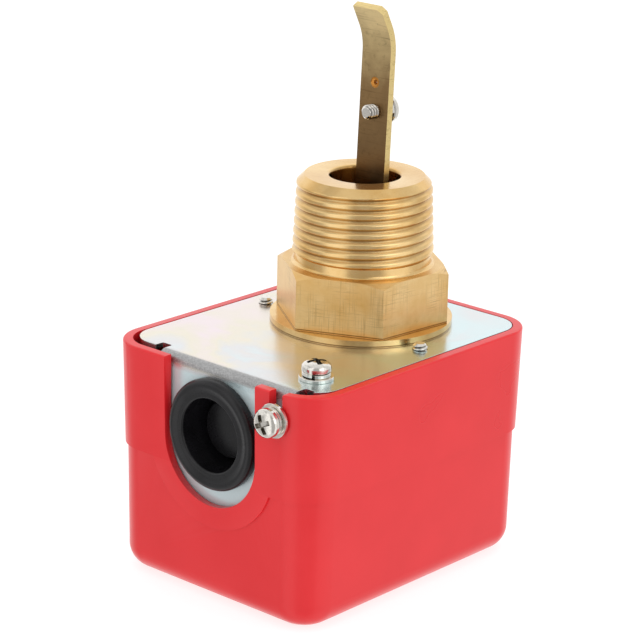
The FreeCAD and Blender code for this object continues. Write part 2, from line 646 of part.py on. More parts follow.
def makeCover():
    body = newBody("Cover")
    front = "(coverLength - coverBack)"
    inset = "(ledgeStep + ledgeDepth * tan(upperDraft * 1 deg))"
    upper = newSketch(body, "XY_Plane", "RimOutline")
    roundedRectangle(upper, "-coverWidth / 2", "coverWidth / 2", f"-{front}", "coverBack",
                     "coverCorner")
    extrude(body, "Pad", upper, "ledgeDepth", backwards=True, taper="-upperDraft")
    roundEdges(body, "Fillet", lambda e: near(e.BoundBox.ZMin, 0), "rimEdge")

    lower = newSketch(body, "XY_Plane", "LedgeOutline", "-ledgeDepth")
    roundedRectangle(lower, f"(-coverWidth / 2 + {inset})", f"(coverWidth / 2 - {inset})",
                     f"(-{front} + {inset})", f"(coverBack - {inset})",
                     f"(coverCorner - {inset})")
    extrude(body, "Pad", lower, "coverHeight - ledgeDepth", backwards=True, taper="-lowerDraft")
    base = -number("coverHeight")
    roundEdges(body, "Fillet", lambda e: near(e.CenterOfMass.z, base), "coverBaseEdge")

    # the upper wall's face runs on as a band round the cable notch, in the same drafted plane
    band = newSketch(body, "XZ_Plane", "NotchBand", f"{front} - 0.02")
    band.AttachmentOffset.Rotation = FreeCAD.Rotation(xAxis, number("upperDraft"))
    bind(band, AttachmentOffset__Rotation__Angle="upperDraft")
    circle(band, "notchCentreX", "-notchDepth", "notchRadius + notchFrame")
    extrude(body, "Pad", band, "coverWall - ledgeStep", backwards=True)

    cavity = newSketch(body, "XY_Plane", "Cavity")
    roundedRectangle(cavity, "(-coverWidth / 2 + coverWall)", "(coverWidth / 2 - coverWall)",
                     f"(-{front} + coverWall)", "(coverBack - coverWall)",
                     "(coverCorner - coverWall)")
    extrude(body, "Pocket", cavity, "coverHeight - coverFloor", taper="-innerDraft")
    floor = base + number("coverFloor")
    roundEdges(body, "Fillet", lambda e: near(e.CenterOfMass.z, floor), "coverBaseEdge / 2")

    # ribs under the plate's edge, sunk a little into the wall they stand on
    ribs = newSketch(body, "XY_Plane", "PlateRibs", "-plateThick")
    inner = "(coverWidth / 2 - coverWall)"
    back = "(coverBack - coverWall)"
    root = "coverWall / 2"
    for y in ("ribFrontY", "ribRearY"):
        span = (f"{y} - ribThick / 2", f"{y} + ribThick / 2")
        rectangle(ribs, f"{inner} - ribReach", f"{inner} + {root}", *span)
        rectangle(ribs, f"-{inner} - {root}", f"-{inner} + ribReach", *span)
    for side in ("", "-"):
        middle = f"{side}ribBackX"
        rectangle(ribs, f"{middle} - ribThick / 2", f"{middle} + ribThick / 2",
                  f"{back} - ribReach", f"{back} + {root}")
    extrude(body, "Pad", ribs, "ribHeight", backwards=True)

    cableNotch = newSketch(body, "XZ_Plane", "CableNotch", f"{front} + 1")
    notch(cableNotch, "notchCentreX", "-notchDepth", "notchRadius", "1")
    extrude(body, "Pocket", cableNotch, "coverWall * 2 + 1")
    screwSlot = newSketch(body, "XZ_Plane", "ScrewSlot", f"{front} + 1")
    notch(screwSlot, coverScrewX, "-coverScrewDepth", "slotWidth / 2", "1")
    extrude(body, "Pocket", screwSlot, "coverWall * 2 + 1")
    keep("cover", body)


# ---- cable grommet ---------------------------------------------------------------------------
def makeGrommet():
    body = newBody("CableGrommet")
    inner = "-(plateThick + grommetInnerLip)"
    floor = "(grommetLip - grommetCup)"
    profile = newSketch(body, "XZ_Plane", "GrommetProfile")
    polygon(profile, [
        ("0", f"{floor} - grommetWeb"),
        ("grommetRecessFloor / 2 + grommetWeb", f"{floor} - grommetWeb"),
        ("grommetRecessFloor / 2 + grommetWeb", inner),
        ("grommetDia / 2 - 1", inner),
        ("grommetDia / 2", "-plateThick"),
        ("grommetHole / 2", "-plateThick"),
        ("grommetHole / 2", "0"),
        ("grommetDia / 2", "0"),
        ("grommetDia / 2", "grommetLip"),
        ("grommetRecess / 2", "grommetLip"),
        ("grommetRecessFloor / 2", floor),
        ("0", floor),
    ])
    revolve(body, "Revolution", profile)
    lip = number("grommetLip")
    roundEdges(body, "Fillet", lambda e: near(e.BoundBox.ZMin, lip), "grommetLip * 0.42")
    keep("cable_grommet", body, ("grommetCentreX", f"-{flangeFace}", "-grommetDepth"),
         towardsFront)


# ---- earth and cover screws ------------------------------------------------------------------
def makeTerminalScrews():
    """The earth screw and the cover screw are alike, each over a split and a flat washer."""
    seats = {
        "Ground": ((groundX, groundY, "0"), upright),
        "Cover": ((coverScrewX, "-(coverLength - coverBack + coverScrewGap)",
                   "-coverScrewDepth"), towardsFront),
    }
    hole = "screwDia + 2 * washerFit"
    flats = []
    splits = []
    screws = []
    for name, (seat, turn) in seats.items():
        flats.append(ring(name + "Flat", seat, turn, "washerDia", hole, "washerThick"))
        onFlat = along(seat, turn, "washerThick")
        splits.append(ring(name + "Split", onFlat, turn, "springWasherDia", hole,
                           "springWasherThick"))
        onSplit = along(seat, turn, "washerThick + springWasherThick")
        screws.append(panScrew(name + "Screw", onSplit, turn, "screwDia", "screwLen",
                               "screwHead", "screwHeadHeight"))
    keep("flat_washers", group("FlatWashers", flats))
    keep("spring_washers", group("SpringWashers", splits))
    keep("pan_screws", group("PanScrews", screws))


# ---- lever, in the frame of its pivot --------------------------------------------------------
def makeLever():
    body = newBody("Lever")
    half = "leverThick / 2"
    section = newSketch(body, "XY_Plane", "StripSection", "leverFoot")
    rectangle(section, "-leverWidth / 2", "leverWidth / 2",
              f"leverOffset - {half}", f"leverOffset + {half}")

    bend = "leverBend * 1 deg"
    bendEnd = (f"leverOffset - leverBendRadius * (1 - cos({bend}))",
               f"leverStraight + leverBendRadius * sin({bend})")
    tipEnd = (f"{bendEnd[0]} - leverTip * sin({bend})",
              f"{bendEnd[1]} + leverTip * cos({bend})")
    corners = [("leverOffset", "leverFoot"), ("leverOffset", "leverStraight"), bendEnd, tipEnd]
    places = [FreeCAD.Vector(number(y), number(z), 0) for y, z in corners]
    centre = FreeCAD.Vector(number("leverOffset - leverBendRadius"), number("leverStraight"), 0)
    path = newSketch(body, "YZ_Plane", "StripPath")
    turn = Part.Circle(centre, zAxis, number("leverBendRadius"))
    path.addGeometry(Part.LineSegment(places[0], places[1]), False)
    path.addGeometry(Part.ArcOfCircle(turn, 0, math.radians(number("leverBend"))), False)
    path.addGeometry(Part.LineSegment(places[2], places[3]), False)
    path.addConstraint(Sketcher.Constraint("Coincident", 0, 2, 1, 1))
    path.addConstraint(Sketcher.Constraint("Coincident", 1, 2, 2, 1))
    pinPoint(path, 0, 1, *corners[0])
    pinPoint(path, 0, 2, *corners[1])
    pinPoint(path, 1, 3, "leverOffset - leverBendRadius", "leverStraight")
    pinPoint(path, 2, 2, *tipEnd)
    pin(path, "DistanceY", 2, 1, bendEnd[1])
    strip = body.newObject("PartDesign::AdditivePipe", "Strip")
    strip.Profile = section
    strip.Spine = (path, ["Edge1", "Edge2", "Edge3"])
    doc.recompute()

    tip = number("leverStraight") + number("leverTip")
    side = number("leverWidth / 2")
    roundEdges(body, "Chamfer", lambda e: near(e.Length, number("leverThick"))
               and near(e.CenterOfMass.x, side) and e.CenterOfMass.z > tip, "leverTipChamfer")
    holes = newSketch(body, "XZ_Plane", "StripHoles", "-leverOffset")
    circle(holes, "0", "paddleScrewHeight", "screwDia / 2")
    circle(holes, "0", "paddleHoleHeight", "paddleHoleDia / 2")
    circle(holes, "0", "rivetLow", "rivetDia / 2")
    circle(holes, "0", "rivetHigh", "rivetDia / 2")
    extrude(body, "Pocket", holes, "leverThick * 2", both=True)
    keepOnLever("lever", body)


def makeLeverFasteners():
    back = "leverOffset + leverThick / 2"
    seat = ("0", back, "paddleScrewHeight")
    hole = "screwDia + 2 * washerFit"
    washer = ring("PaddleSplit", seat, towardsBack, "springWasherDia", hole, "springWasherThick")
    keepOnLever("lever_spring_washer", washer)
    head = along(seat, towardsBack, "springWasherThick")
    length = "(springWasherThick + leverThick + paddleScrewOut)"
    screw = panScrew("PaddleScrew", head, towardsBack, "screwDia", length,
                     "screwHead", "screwHeadHeight")
    keepOnLever("lever_screw", screw)

    rivets = []
    for height in ("rivetLow", "rivetHigh"):
        front = ("0", "leverOffset - leverThick / 2", height)
        rivets.append(panScrew("Rivet_" + height, front, towardsFront, "rivetDia",
                               "(leverThick + uprightThick)", "rivetHead", "rivetHeadHeight"))
    keepOnLever("lever_rivets", group("LeverRivets", rivets))

    level = "pivotDepth + bellowsTop + capGap"
    disc = rod("CapDisc", "capDia / 2", "capThick", ("0", "0", level))
    slit = block("CapSlit", ("-leverWidth / 2", "leverOffset - leverThick / 2", f"{level} - 1"),
                 ("leverWidth", "leverThick", "capThick + 2"))
    keepOnLever("bellows_cap", cut("BellowsCap", disc, slit))


def makeRocker():
    body = newBody("Rocker")
    back = "leverOffset + leverThick / 2"
    hub = newSketch(body, "YZ_Plane", "Hub")
    circle(hub, "0", "0", "hubDia / 2")
    extrude(body, "Pad", hub, f"2 * ({frameHalf} - hubPlay)", both=True)
    arms = newSketch(body, "YZ_Plane", "Arms")
    rectangle(arms, "-frontArm", "rearArm", "-armThick / 2", "armThick / 2")
    extrude(body, "Pad", arms, "armWidth", both=True)
    ends = (-number("frontArm"), number("rearArm"))
    roundEdges(body, "Fillet", lambda e: alongAxis(e, zAxis)
               and any(near(e.CenterOfMass.y, end) for end in ends), "armWidth * 0.3")
    support = newSketch(body, "YZ_Plane", "Upright")
    rectangle(support, back, f"{back} + uprightThick", "0", "uprightHeight")
    extrude(body, "Pad", support, "leverWidth", both=True)
    bore = newSketch(body, "YZ_Plane", "PinBore")
    circle(bore, "0", "0", "pinDia / 2 + pinPlay")
    extrude(body, "Pocket", bore, f"2 * {frameHalf}", both=True)
    rivetHoles = newSketch(body, "XZ_Plane", "RivetHoles", f"-({back} + uprightThick / 2)")
    circle(rivetHoles, "0", "rivetLow", "rivetDia / 2")
    circle(rivetHoles, "0", "rivetHigh", "rivetDia / 2")
    extrude(body, "Pocket", rivetHoles, "uprightThick", both=True)
    keepOnLever("rocker", body)


# ---- mechanism frame and pivot ---------------------------------------------------------------
def makeFrame():
    body = newBody("MechanismFrame")
    outer = f"({frameHalf} + frameThick)"
    channel = newSketch(body, "XY_Plane", "Channel", "-plateThick")
    polygon(channel, [
        (f"-{outer}", "-frameFront"),
        (f"-{frameHalf}", "-frameFront"),
        (f"-{frameHalf}", "webFront"),
        (frameHalf, "webFront"),
        (frameHalf, "-frameFront"),
        (outer, "-frameFront"),
        (outer, webBack),
        (f"-{outer}", webBack),
    ])
    extrude(body, "Pad", channel, "frameDepth - plateThick", backwards=True)
    window = newSketch(body, "XZ_Plane", "Window", "-(webFront - 1)")
    windowHalf = f"({frameHalf} - windowMargin)"
    rectangle(window, f"-{windowHalf}", windowHalf, "-windowDepth", "0")
    extrude(body, "Pocket", window, "frameThick + 2")
    bottom = -number("frameDepth")
    cheekFront = -number("frameFront")
    roundEdges(body, "Chamfer", lambda e: alongAxis(e, xAxis) and near(e.CenterOfMass.z, bottom)
               and near(e.CenterOfMass.y, cheekFront), "cheekClip")
    side = number(outer)
    rear = number(webBack)
    roundEdges(body, "Fillet", lambda e: alongAxis(e, zAxis) and near(e.CenterOfMass.y, rear)
               and near(abs(e.CenterOfMass.x), side), "bendRadius + frameThick")
    inside = number(frameHalf)
    web = number("webFront")
    roundEdges(body, "Fillet", lambda e: alongAxis(e, zAxis) and near(e.CenterOfMass.y, web)
               and near(abs(e.CenterOfMass.x), inside), "bendRadius")

    feet = newSketch(body, "XY_Plane", "Feet", "-plateThick")
    reach = f"({footScrewX} + footMargin)"
    low = "footY - footLength / 2"
    high = "footY + footLength / 2"
    rectangle(feet, frameHalf, reach, low, high)
    rectangle(feet, f"-{reach}", f"-{frameHalf}", low, high)
    extrude(body, "Pad", feet, "frameThick", backwards=True)

    nutSide = "(rangeNutWidth / 2 + rangeGuideGap)"
    shelf = newSketch(body, "XY_Plane", "Shelf", "-frameDepth")
    rectangle(shelf, f"-{nutSide} - frameThick", f"{nutSide} + frameThick",
              "-shelfFront", webBack)
    extrude(body, "Pad", shelf, "frameThick", backwards=True)
    guide = newSketch(body, "XY_Plane", "GuideTab", "-frameDepth")
    rectangle(guide, nutSide, f"{nutSide} + frameThick",
              "-rangeY - rangeNutWidth / 3", "-rangeY + rangeNutWidth / 3")
    extrude(body, "Pad", guide, "frameDepth - guideTop")

    pivots = newSketch(body, "YZ_Plane", "PivotHoles")
    circle(pivots, "0", "-pivotDepth", "pinDia / 2")
    extrude(body, "Pocket", pivots, f"2 * {outer} + 2", both=True)
    footHoles = newSketch(body, "XY_Plane", "FootHoles")
    circle(footHoles, footScrewX, "footY", "footScrewDia / 2")
    circle(footHoles, f"-{footScrewX}", "footY", "footScrewDia / 2")
    extrude(body, "Pocket", footHoles, "plateThick + frameThick + 1")
    rangeHole = newSketch(body, "XY_Plane", "RangeHole", "-frameDepth + 1")
    circle(rangeHole, "0", "-rangeY", "rangeDia / 2 + rangePlay")
    extrude(body, "Pocket", rangeHole, "frameThick + 2")
    switchHoles = newSketch(body, "XZ_Plane", "SwitchHoles", "-(webFront - 1)")
    level = "-(caseDepth + caseScrewDrop)"
    circle(switchHoles, "caseScrewX", level, "caseScrewDia / 2")
    circle(switchHoles, "-caseScrewX", level, "caseScrewDia / 2")
    extrude(body, "Pocket", switchHoles, "frameThick + 2")
    keep("mechanism_frame", body)


def makeFrameScrews():
    screws = []
    for side in ("", "-"):
        seat = (f"{side}{footScrewX}", "footY", "-(plateThick + frameThick)")
        screws.append(panScrew("FrameScrew" + ("Left" if side else "Right"), seat, downwards,
                               "footScrewDia", "(plateThick + frameThick + footScrewOut)",
                               "footScrewHead", "footScrewHeadHeight"))
    keep("frame_screws", group("FrameScrews", screws))


def makePivot():
    reach = f"({frameHalf} + frameThick + pinOut)"
    start = (f"-{reach}", "0", "-pivotDepth")
    axle = rod("PivotRod", "pinDia / 2", f"2 * {reach}", start, towardsRight)
    keep("pivot_pin", axle, start, towardsRight)
    cheek = f"{frameHalf} + frameThick"
    right = ring("RightClip", (cheek, "0", "-pivotDepth"), towardsRight,
                 "clipDia", "pinDia", "clipThick")
    left = ring("LeftClip", (f"-({cheek})", "0", "-pivotDepth"), towardsLeft,
                "clipDia", "pinDia", "clipThick")
    keep("pivot_clips", group("PivotClips", [right, left]))


# ---- range spring group ----------------------------------------------------------------------
def makeRangeGroup():
    seat = ("0", "-rangeY", "-(frameDepth + frameThick)")
    screw = panScrew("RangeScrew", seat, downwards, "rangeDia",
                     "(frameDepth + frameThick - rangeTop)", "rangeHead", "rangeHeadHeight")
    keep("range_screw", screw)
    low = "-(rangeNutDepth + rangeNutThick)"
    plate = block("RangeNutPlate", ("-rangeNutWidth / 2", "-rangeY - rangeNutWidth / 2", low),
                  ("rangeNutWidth", "rangeNutWidth", "rangeNutThick"))
    hole = rod("RangeNutHole", "rangeDia / 2 + rangePlay", "rangeNutThick + 2",
               ("0", "-rangeY", f"{low} - 1"))
    keep("range_nut", cut("RangeNut", plate, hole))

    body = newBody("RangeSpring")
    wire = newSketch(body, "XZ_Plane", "SpringWire")
    circle(wire, "(springDia - springWire) / 2", "springWire / 2 - rangeNutDepth",
           "springWire / 2")
    coil = body.newObject("PartDesign::AdditiveHelix", "Coil")
    coil.Profile = wire
    coil.ReferenceAxis = (wire, ["V_Axis"])
    coil.Mode = "height-turns-angle"
    bind(coil, Height="rangeNutDepth - springTop - springWire", Turns="springTurns")
    doc.recompute()
    keep("range_spring", body, ("0", "-rangeY", "0"))


# ---- microswitch -----------------------------------------------------------------------------
def makeSwitch():
    body = newBody("SwitchCase")
    half = "(caseWidth / 2)"
    outline = newSketch(body, "XY_Plane", "CaseOutline", "-caseDepth")
    rectangle(outline, f"-{half}", half, caseFront, f"{caseFront} + caseThick")
    extrude(body, "Pad", outline, "caseHeight", backwards=True)
    roundEdges(body, "Fillet", lambda e: alongAxis(e, zAxis), "caseEdge")
    ear = newSketch(body, "XY_Plane", "LeafEar", "-caseDepth")
    earEnd = f"-{half} + caseEdge + earWidth"
    rectangle(ear, f"-{half} + caseEdge", earEnd,
              f"{caseFront} + caseEdge", f"{caseFront} + caseThick - caseEdge")
    extrude(body, "Pad", ear, "earHeight")
    well = newSketch(body, "XY_Plane", "PlungerWell", "-caseDepth")
    circle(well, "plungerX", caseMiddle, "plungerDia / 2 + leafGap")
    extrude(body, "Pocket", well, "plungerIn")
    holes = newSketch(body, "XZ_Plane", "CaseHoles", f"-({caseFront} - 1)")
    level = "-(caseDepth + caseScrewDrop)"
    circle(holes, "caseScrewX", level, "caseScrewDia / 2")
    circle(holes, "-caseScrewX", level, "caseScrewDia / 2")
    extrude(body, "Pocket", holes, "caseThick + 2")
    keep("switch_case", body)

    plungerFoot = "-(caseDepth + plungerIn) + leafGap"
    plunger = rod("Plunger", "plungerDia / 2", "plungerIn + plungerOut - leafGap",
                  ("0", "0", "0"))
    keep("switch_plunger", plunger, ("plungerX", caseMiddle, plungerFoot))
    leafStart = f"({earEnd} + leafGap)"
    leaf = block("Leaf", ("0", "0", "0"), (f"{half} - 0.5 - {leafStart}", "leafWidth",
                                           "leafThick"))
    keep("switch_leaf", leaf, (leafStart, f"{caseMiddle} - leafWidth / 2",
                               "-caseDepth + plungerOut + leafGap"))

    card = block("Card", (f"-{half} - 1", webBack, f"-({caseBottom} + 2)"),
                 (f"2 * {half} + 2", "insulatorThick", f"{caseBottom} + 2 - windowDepth - 0.5"))
    cardHoles = []
    screws = []
    for side in ("", "-"):
        place = (f"{side}caseScrewX", f"{webBack} - 1", level)
        cardHoles.append(rod("CardHole", "caseScrewDia / 2", "insulatorThick + 2", place,
                             towardsBack))
        seat = (f"{side}caseScrewX", f"{caseFront} + caseThick", level)
        screws.append(panScrew("SwitchScrew", seat, towardsBack, "caseScrewDia",
                               "(caseThick + insulatorThick + frameThick + 1)",
                               "caseScrewHead", "caseScrewHeadHeight"))
    keep("insulator_card", cut("InsulatorCard", card, fuse("CardHoles", cardHoles)))
    keep("switch_screws", group("SwitchScrews", screws))


def makeTerminals():
    tabs = []
    screws = []
    level = f"-({caseBottom} + tabScrewDrop)"
    for k in (-1, 0, 1):
        middle = f"{k} * tabPitch"
        tab = block("Tab", (f"{middle} - tabWidth / 2", f"{caseMiddle} - tabThick / 2",
                            f"-({caseBottom} + tabLength)"),
                    ("tabWidth", "tabThick", "tabLength"))
        hole = rod("TabHole", "tabScrewDia / 2", "tabThick + 2",
                   (middle, f"{caseMiddle} - tabThick / 2 - 1", level), towardsBack)
        tabs.append(cut("TerminalTab", tab, hole))
        seat = (middle, f"{caseMiddle} + tabThick / 2", level)
        screws.append(panScrew("TabScrew", seat, towardsBack, "tabScrewDia",
                               "(tabThick + 2.4)", "tabScrewHead", "tabScrewHeadHeight"))
    keep("switch_terminals", group("SwitchTerminals", tabs))
    keep("terminal_screws", group("TerminalScrews", screws))


makeBrassBody()
makeLockNut()
makeBellows()
makePlate()
makeCover()
makeGrommet()
makeTerminalScrews()
makeLever()
makeLeverFasteners()
makeRocker()
makeFrame()
makeFrameScrews()
makePivot()
makeRangeGroup()
makeSwitch()
makeTerminals()
doc.recompute()

for thing in doc.Objects:
    if "Invalid" in thing.State or "Error" in thing.State:
        raise RuntimeError(f"{thing.Label} failed to build: {thing.State}")
for name, thing in nodes.items():
    if thing.Shape.isNull() or not thing.Shape.isValid():
        raise RuntimeError(f"{name} has no valid shape")
os.makedirs("parts", exist_ok=True)
for name, thing in nodes.items():
    thing.Shape.exportStep(f"parts/{name}.step")
    box = thing.Shape.BoundBox
    print(f"{name}: {thing.Shape.Volume:.1f} mm3, {len(thing.Shape.Solids)} solids, "
          f"z {box.ZMin:.2f} to {box.ZMax:.2f}")
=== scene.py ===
import json
import math
import bpy
import bmesh
import numpy as np
from mathutils import Matrix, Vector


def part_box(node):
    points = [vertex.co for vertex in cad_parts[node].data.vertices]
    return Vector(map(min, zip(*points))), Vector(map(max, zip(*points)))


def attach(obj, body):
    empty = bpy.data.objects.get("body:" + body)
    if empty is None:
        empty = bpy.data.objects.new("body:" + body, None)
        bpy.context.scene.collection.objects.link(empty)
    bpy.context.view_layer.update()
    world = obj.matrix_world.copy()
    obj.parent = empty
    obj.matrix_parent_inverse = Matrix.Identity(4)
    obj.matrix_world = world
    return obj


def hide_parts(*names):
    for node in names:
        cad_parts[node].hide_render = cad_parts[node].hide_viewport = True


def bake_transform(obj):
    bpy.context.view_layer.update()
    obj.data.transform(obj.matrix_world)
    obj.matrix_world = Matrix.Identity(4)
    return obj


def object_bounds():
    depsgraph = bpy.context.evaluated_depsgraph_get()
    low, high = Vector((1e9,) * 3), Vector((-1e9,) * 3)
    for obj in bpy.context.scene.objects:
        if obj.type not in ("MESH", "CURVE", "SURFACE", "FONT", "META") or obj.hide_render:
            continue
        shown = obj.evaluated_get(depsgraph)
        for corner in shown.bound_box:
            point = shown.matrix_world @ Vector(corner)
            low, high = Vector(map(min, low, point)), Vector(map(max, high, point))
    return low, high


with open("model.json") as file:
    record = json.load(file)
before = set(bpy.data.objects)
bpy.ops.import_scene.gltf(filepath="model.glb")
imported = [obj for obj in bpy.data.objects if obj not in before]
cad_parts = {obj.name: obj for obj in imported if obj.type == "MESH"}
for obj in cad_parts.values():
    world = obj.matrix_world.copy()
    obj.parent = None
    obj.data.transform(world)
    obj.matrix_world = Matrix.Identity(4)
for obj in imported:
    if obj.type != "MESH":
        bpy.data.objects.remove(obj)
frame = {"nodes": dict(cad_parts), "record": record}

# Paddle flow switch standing on its cover, pipe thread upwards. Everything is in metres in the
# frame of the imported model: +Z out of the thread, -Y to the cable entry, +X across the housing.
# Sizes in the dictionaries are in millimetres unless a name says otherwise.
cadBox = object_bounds()
mm = 0.001
nodeBody = {node: body for body, nodes in frame["record"]["behaviour"]["bodies"].items()
            for node in nodes}


def boxOf(node):
    # a CAD node's lowest and highest corner in millimetres
    low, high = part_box(node)
    return np.array(low) / mm, np.array(high) / mm


def solidBoxes(node, axis):
    # the boxes of a node's separate solids, in order along an axis: every corner takes the lowest
    # label of the triangles it belongs to, until no label changes
    mesh = frame["nodes"][node].data
    mesh.calc_loop_triangles()
    corners = np.zeros(len(mesh.vertices) * 3, np.float32)
    mesh.vertices.foreach_get("co", corners)
    triangles = np.zeros(len(mesh.loop_triangles) * 3, np.int32)
    mesh.loop_triangles.foreach_get("vertices", triangles)
    corners, merged = np.unique(np.round(corners.reshape(-1, 3) / mm, 3), axis=0,
                                return_inverse=True)
    triangles = merged.reshape(-1)[triangles].reshape(-1, 3)
    label = np.arange(len(corners))
    while True:
        spread = label.copy()
        np.minimum.at(spread, triangles.ravel(), np.repeat(label[triangles].min(axis=1), 3))
        if (spread == label).all():
            break
        label = spread
    parts = [corners[label == kind] for kind in np.unique(label)]
    parts.sort(key=lambda part: part[:, axis].mean())
    return [(part.min(0), part.max(0)) for part in parts]


def turned(towards):
    # rotation whose third column is the direction a screw's head or a ring faces
    z = np.array(towards, float) / np.linalg.norm(towards)
    x = np.cross((0.0, 1.0, 0.0) if abs(z[1]) < 0.9 else (0.0, 0.0, 1.0), z)
    x /= np.linalg.norm(x)
    return np.stack([x, np.cross(z, x), z], axis=1)


def placed(grid, at=(0, 0, 0), towards=(0, 0, 1), spin=0.0):
    # a grid of points turned about its own axis, faced along a direction and moved; a fourth
    # value at the points is carried along
    c, s = math.cos(math.radians(spin)), math.sin(math.radians(spin))
    about = np.array([[c, -s, 0], [s, c, 0], [0, 0, 1]])
    moved = grid[..., :3] @ about.T @ turned(towards).T + np.array(at, float)
    return np.concatenate([moved, grid[..., 3:]], axis=-1)


def quadsOf(grid, first):
    # faces between neighbouring rows and columns of a grid; they look outwards where the rows
    # climb an outer wall and the columns go round it anticlockwise
    rows, columns = grid.shape[:2]
    index = np.arange(rows * columns).reshape(rows, columns) + first
    return np.stack([index[:-1, :-1], index[:-1, 1:], index[1:, 1:], index[1:, :-1]],
                    axis=-1).reshape(-1, 4)


def makePiece(name, grids, material, node, sharp=32, bevel=0, between=None):
    # joins grids of points (in mm) into one mesh, closes their seams and poles, and rides it on
    # the body of the node it stands for, or, if it is given bodies to lie between, leaves it
    # unattached;
    # a fourth value at a grid's
    # points is the painted shade, with some grime, that lies there, from 0 to 1
    corners = np.concatenate([grid[..., :3].reshape(-1, 3) for grid in grids]) * mm
    grimeAndShade = np.concatenate([(grid[..., 3] if grid.shape[-1] > 3 else 0 * grid[..., 0]).ravel()
                            for grid in grids])
    firsts = np.cumsum([0] + [grid.shape[0] * grid.shape[1] for grid in grids[:-1]])
    faces = np.concatenate([quadsOf(grid, first) for grid, first in zip(grids, firsts)])
    mesh = bpy.data.meshes.new(name)
    mesh.from_pydata(corners.tolist(), [], faces.tolist())
    mesh.attributes.new("grimeAndShade", "FLOAT", "POINT").data.foreach_set("value", grimeAndShade)
    return finishPiece(name, mesh, material, node, sharp, bevel, between)


def finishPiece(name, mesh, material, node, sharp, bevel, between=None):
    work = bmesh.new()
    work.from_mesh(mesh)
    bmesh.ops.remove_doubles(work, verts=work.verts, dist=0.002 * mm)
    bmesh.ops.dissolve_degenerate(work, edges=work.edges, dist=0.001 * mm)
    mesh.materials.append(material)
    work.to_mesh(mesh)
    work.free()
    mesh.polygons.foreach_set("use_smooth", np.ones(len(mesh.polygons), bool))
    mesh.set_sharp_from_angle(angle=math.radians(sharp))
    thing = bpy.data.objects.new(name, mesh)
    bpy.context.scene.collection.objects.link(thing)
    if bevel:
        edge = thing.modifiers.new("edge", "BEVEL")
        edge.width = bevel * mm
        edge.segments = 2
        edge.limit_method = "ANGLE"
        edge.angle_limit = math.radians(sharp)
        edge.harden_normals = True
    if between:
        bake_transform(thing)
    else:
        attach(thing, nodeBody[node])
    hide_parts(node)
    return thing


def softened(node, material, bevel, sharp=32):
    # a copy of a CAD node with its flat facets merged and its hard edges broken by a small bevel
    mesh = frame["nodes"][node].data.copy()
    mesh.materials.clear()
    work = bmesh.new()
    work.from_mesh(mesh)
    bmesh.ops.remove_doubles(work, verts=work.verts, dist=0.001 * mm)
    bmesh.ops.dissolve_limit(work, angle_limit=math.radians(0.4), verts=work.verts,
                             edges=work.edges, use_dissolve_boundaries=False)
    work.to_mesh(mesh)
    work.free()
    return finishPiece(node + "_finished", mesh, material, node, sharp, bevel)


def revolved(profile, around=96):
    # a profile of (radius, height) pairs turned about Z: x = r cos a, y = r sin a, z = h
    profile = np.array(profile, float)
    angle = np.linspace(0, 2 * np.pi, around + 1)
    angle[-1] = 0
    radius = profile[:, :1]
    return np.stack([radius * np.cos(angle), radius * np.sin(angle),
                     np.repeat(profile[:, 1:], around + 1, axis=1)], axis=-1)


def arc(centre, radius, start, stop, steps=6):
    # points of a circular fillet in a profile, angles in degrees
    angle = np.radians(np.linspace(start, stop, steps))
    return list(zip(centre[0] + radius * np.cos(angle), centre[1] + radius * np.sin(angle)))


def threaded(size, around=96, perTurn=14):
    # a ridge climbing one pitch a turn round a cone: height = pitch (k / n + a / 2 pi), clamped to
    # the two ends, and radius = crest - depth (1 - cos pi w) / 2, where w is zero over the
    # crest's share of the pitch and climbs to one at the root; both ends are cut back at 45
    # degrees, and painted shade, with some grime, lies in the roots between them
    turns = size["length"] / size["pitch"] + 2
    steps = int(turns * perTurn)
    angle = np.linspace(0, 2 * np.pi, around + 1)
    climb = np.arange(steps + 1)[:, None] / perTurn - 1 + angle[None, :] / (2 * np.pi)
    height = np.clip(climb * size["pitch"], 0, size["length"])
    phase = height / size["pitch"] - angle[None, :] / (2 * np.pi)
    wave = np.abs(2 * (phase % 1) - 1)
    wave = np.clip((wave - size["crest"]) / (1 - size["crest"]), 0, 1)
    wave = (1 - np.cos(np.pi * wave)) / 2
    crest = size["radius"] - size["taper"] * height
    full = crest - size["depth"] * wave
    topCrest = size["radius"] - size["taper"] * size["length"]
    radius = np.minimum(full, size["radius"] - size["footLead"] + height)
    radius = np.minimum(radius, topCrest - size["lead"] + (size["length"] - height))
    # painted shade, with some grime, darkest at the root
    grimeAndShade = np.where(radius < full, 0, size["grimeAndShade"] * wave ** 2)
    return np.stack([radius * np.cos(angle), radius * np.sin(angle), height, grimeAndShade], axis=-1)


def sectionRing(inner, outer, low, high, gap=0, rise=0, edge=0.12, around=72):
    # a rounded rectangle carried round a circle; with a gap it stops short of a full turn and
    # climbs by the rise, as a split spring washer does
    section = np.array([(inner + edge, low), (outer - edge, low), (outer, low + edge),
                        (outer, high - edge), (outer - edge, high), (inner + edge, high),
                        (inner, high - edge), (inner, low + edge), (inner + edge, low)])
    angle = np.linspace(math.radians(gap / 2), math.radians(360 - gap / 2), around + 1)
    lift = rise * (np.linspace(0, 1, around + 1) - 0.5)
    ring = np.stack([section[:, :1] * np.cos(angle), section[:, :1] * np.sin(angle),
                     section[:, 1:] + lift[None, :]], axis=-1)
    if not gap:
        ring[:, -1] = ring[:, 0]
        return [ring]
    middle = ring[:-1].mean(axis=0)
    ends = [np.stack([np.repeat(middle[None, 0], 9, axis=0), ring[:, 0]], axis=0),
            np.stack([ring[:, -1], np.repeat(middle[None, -1], 9, axis=0)], axis=0)]
    return [ring, *ends]


def linear(code):
    # sRGB hex to linear
    parts = np.array([int(code[i:i + 2], 16) / 255 for i in (1, 3, 5)])
    low = parts / 12.92
    high = ((parts + 0.055) / 1.055) ** 2.4
    return (*np.where(parts <= 0.04045, low, high).tolist(), 1.0)


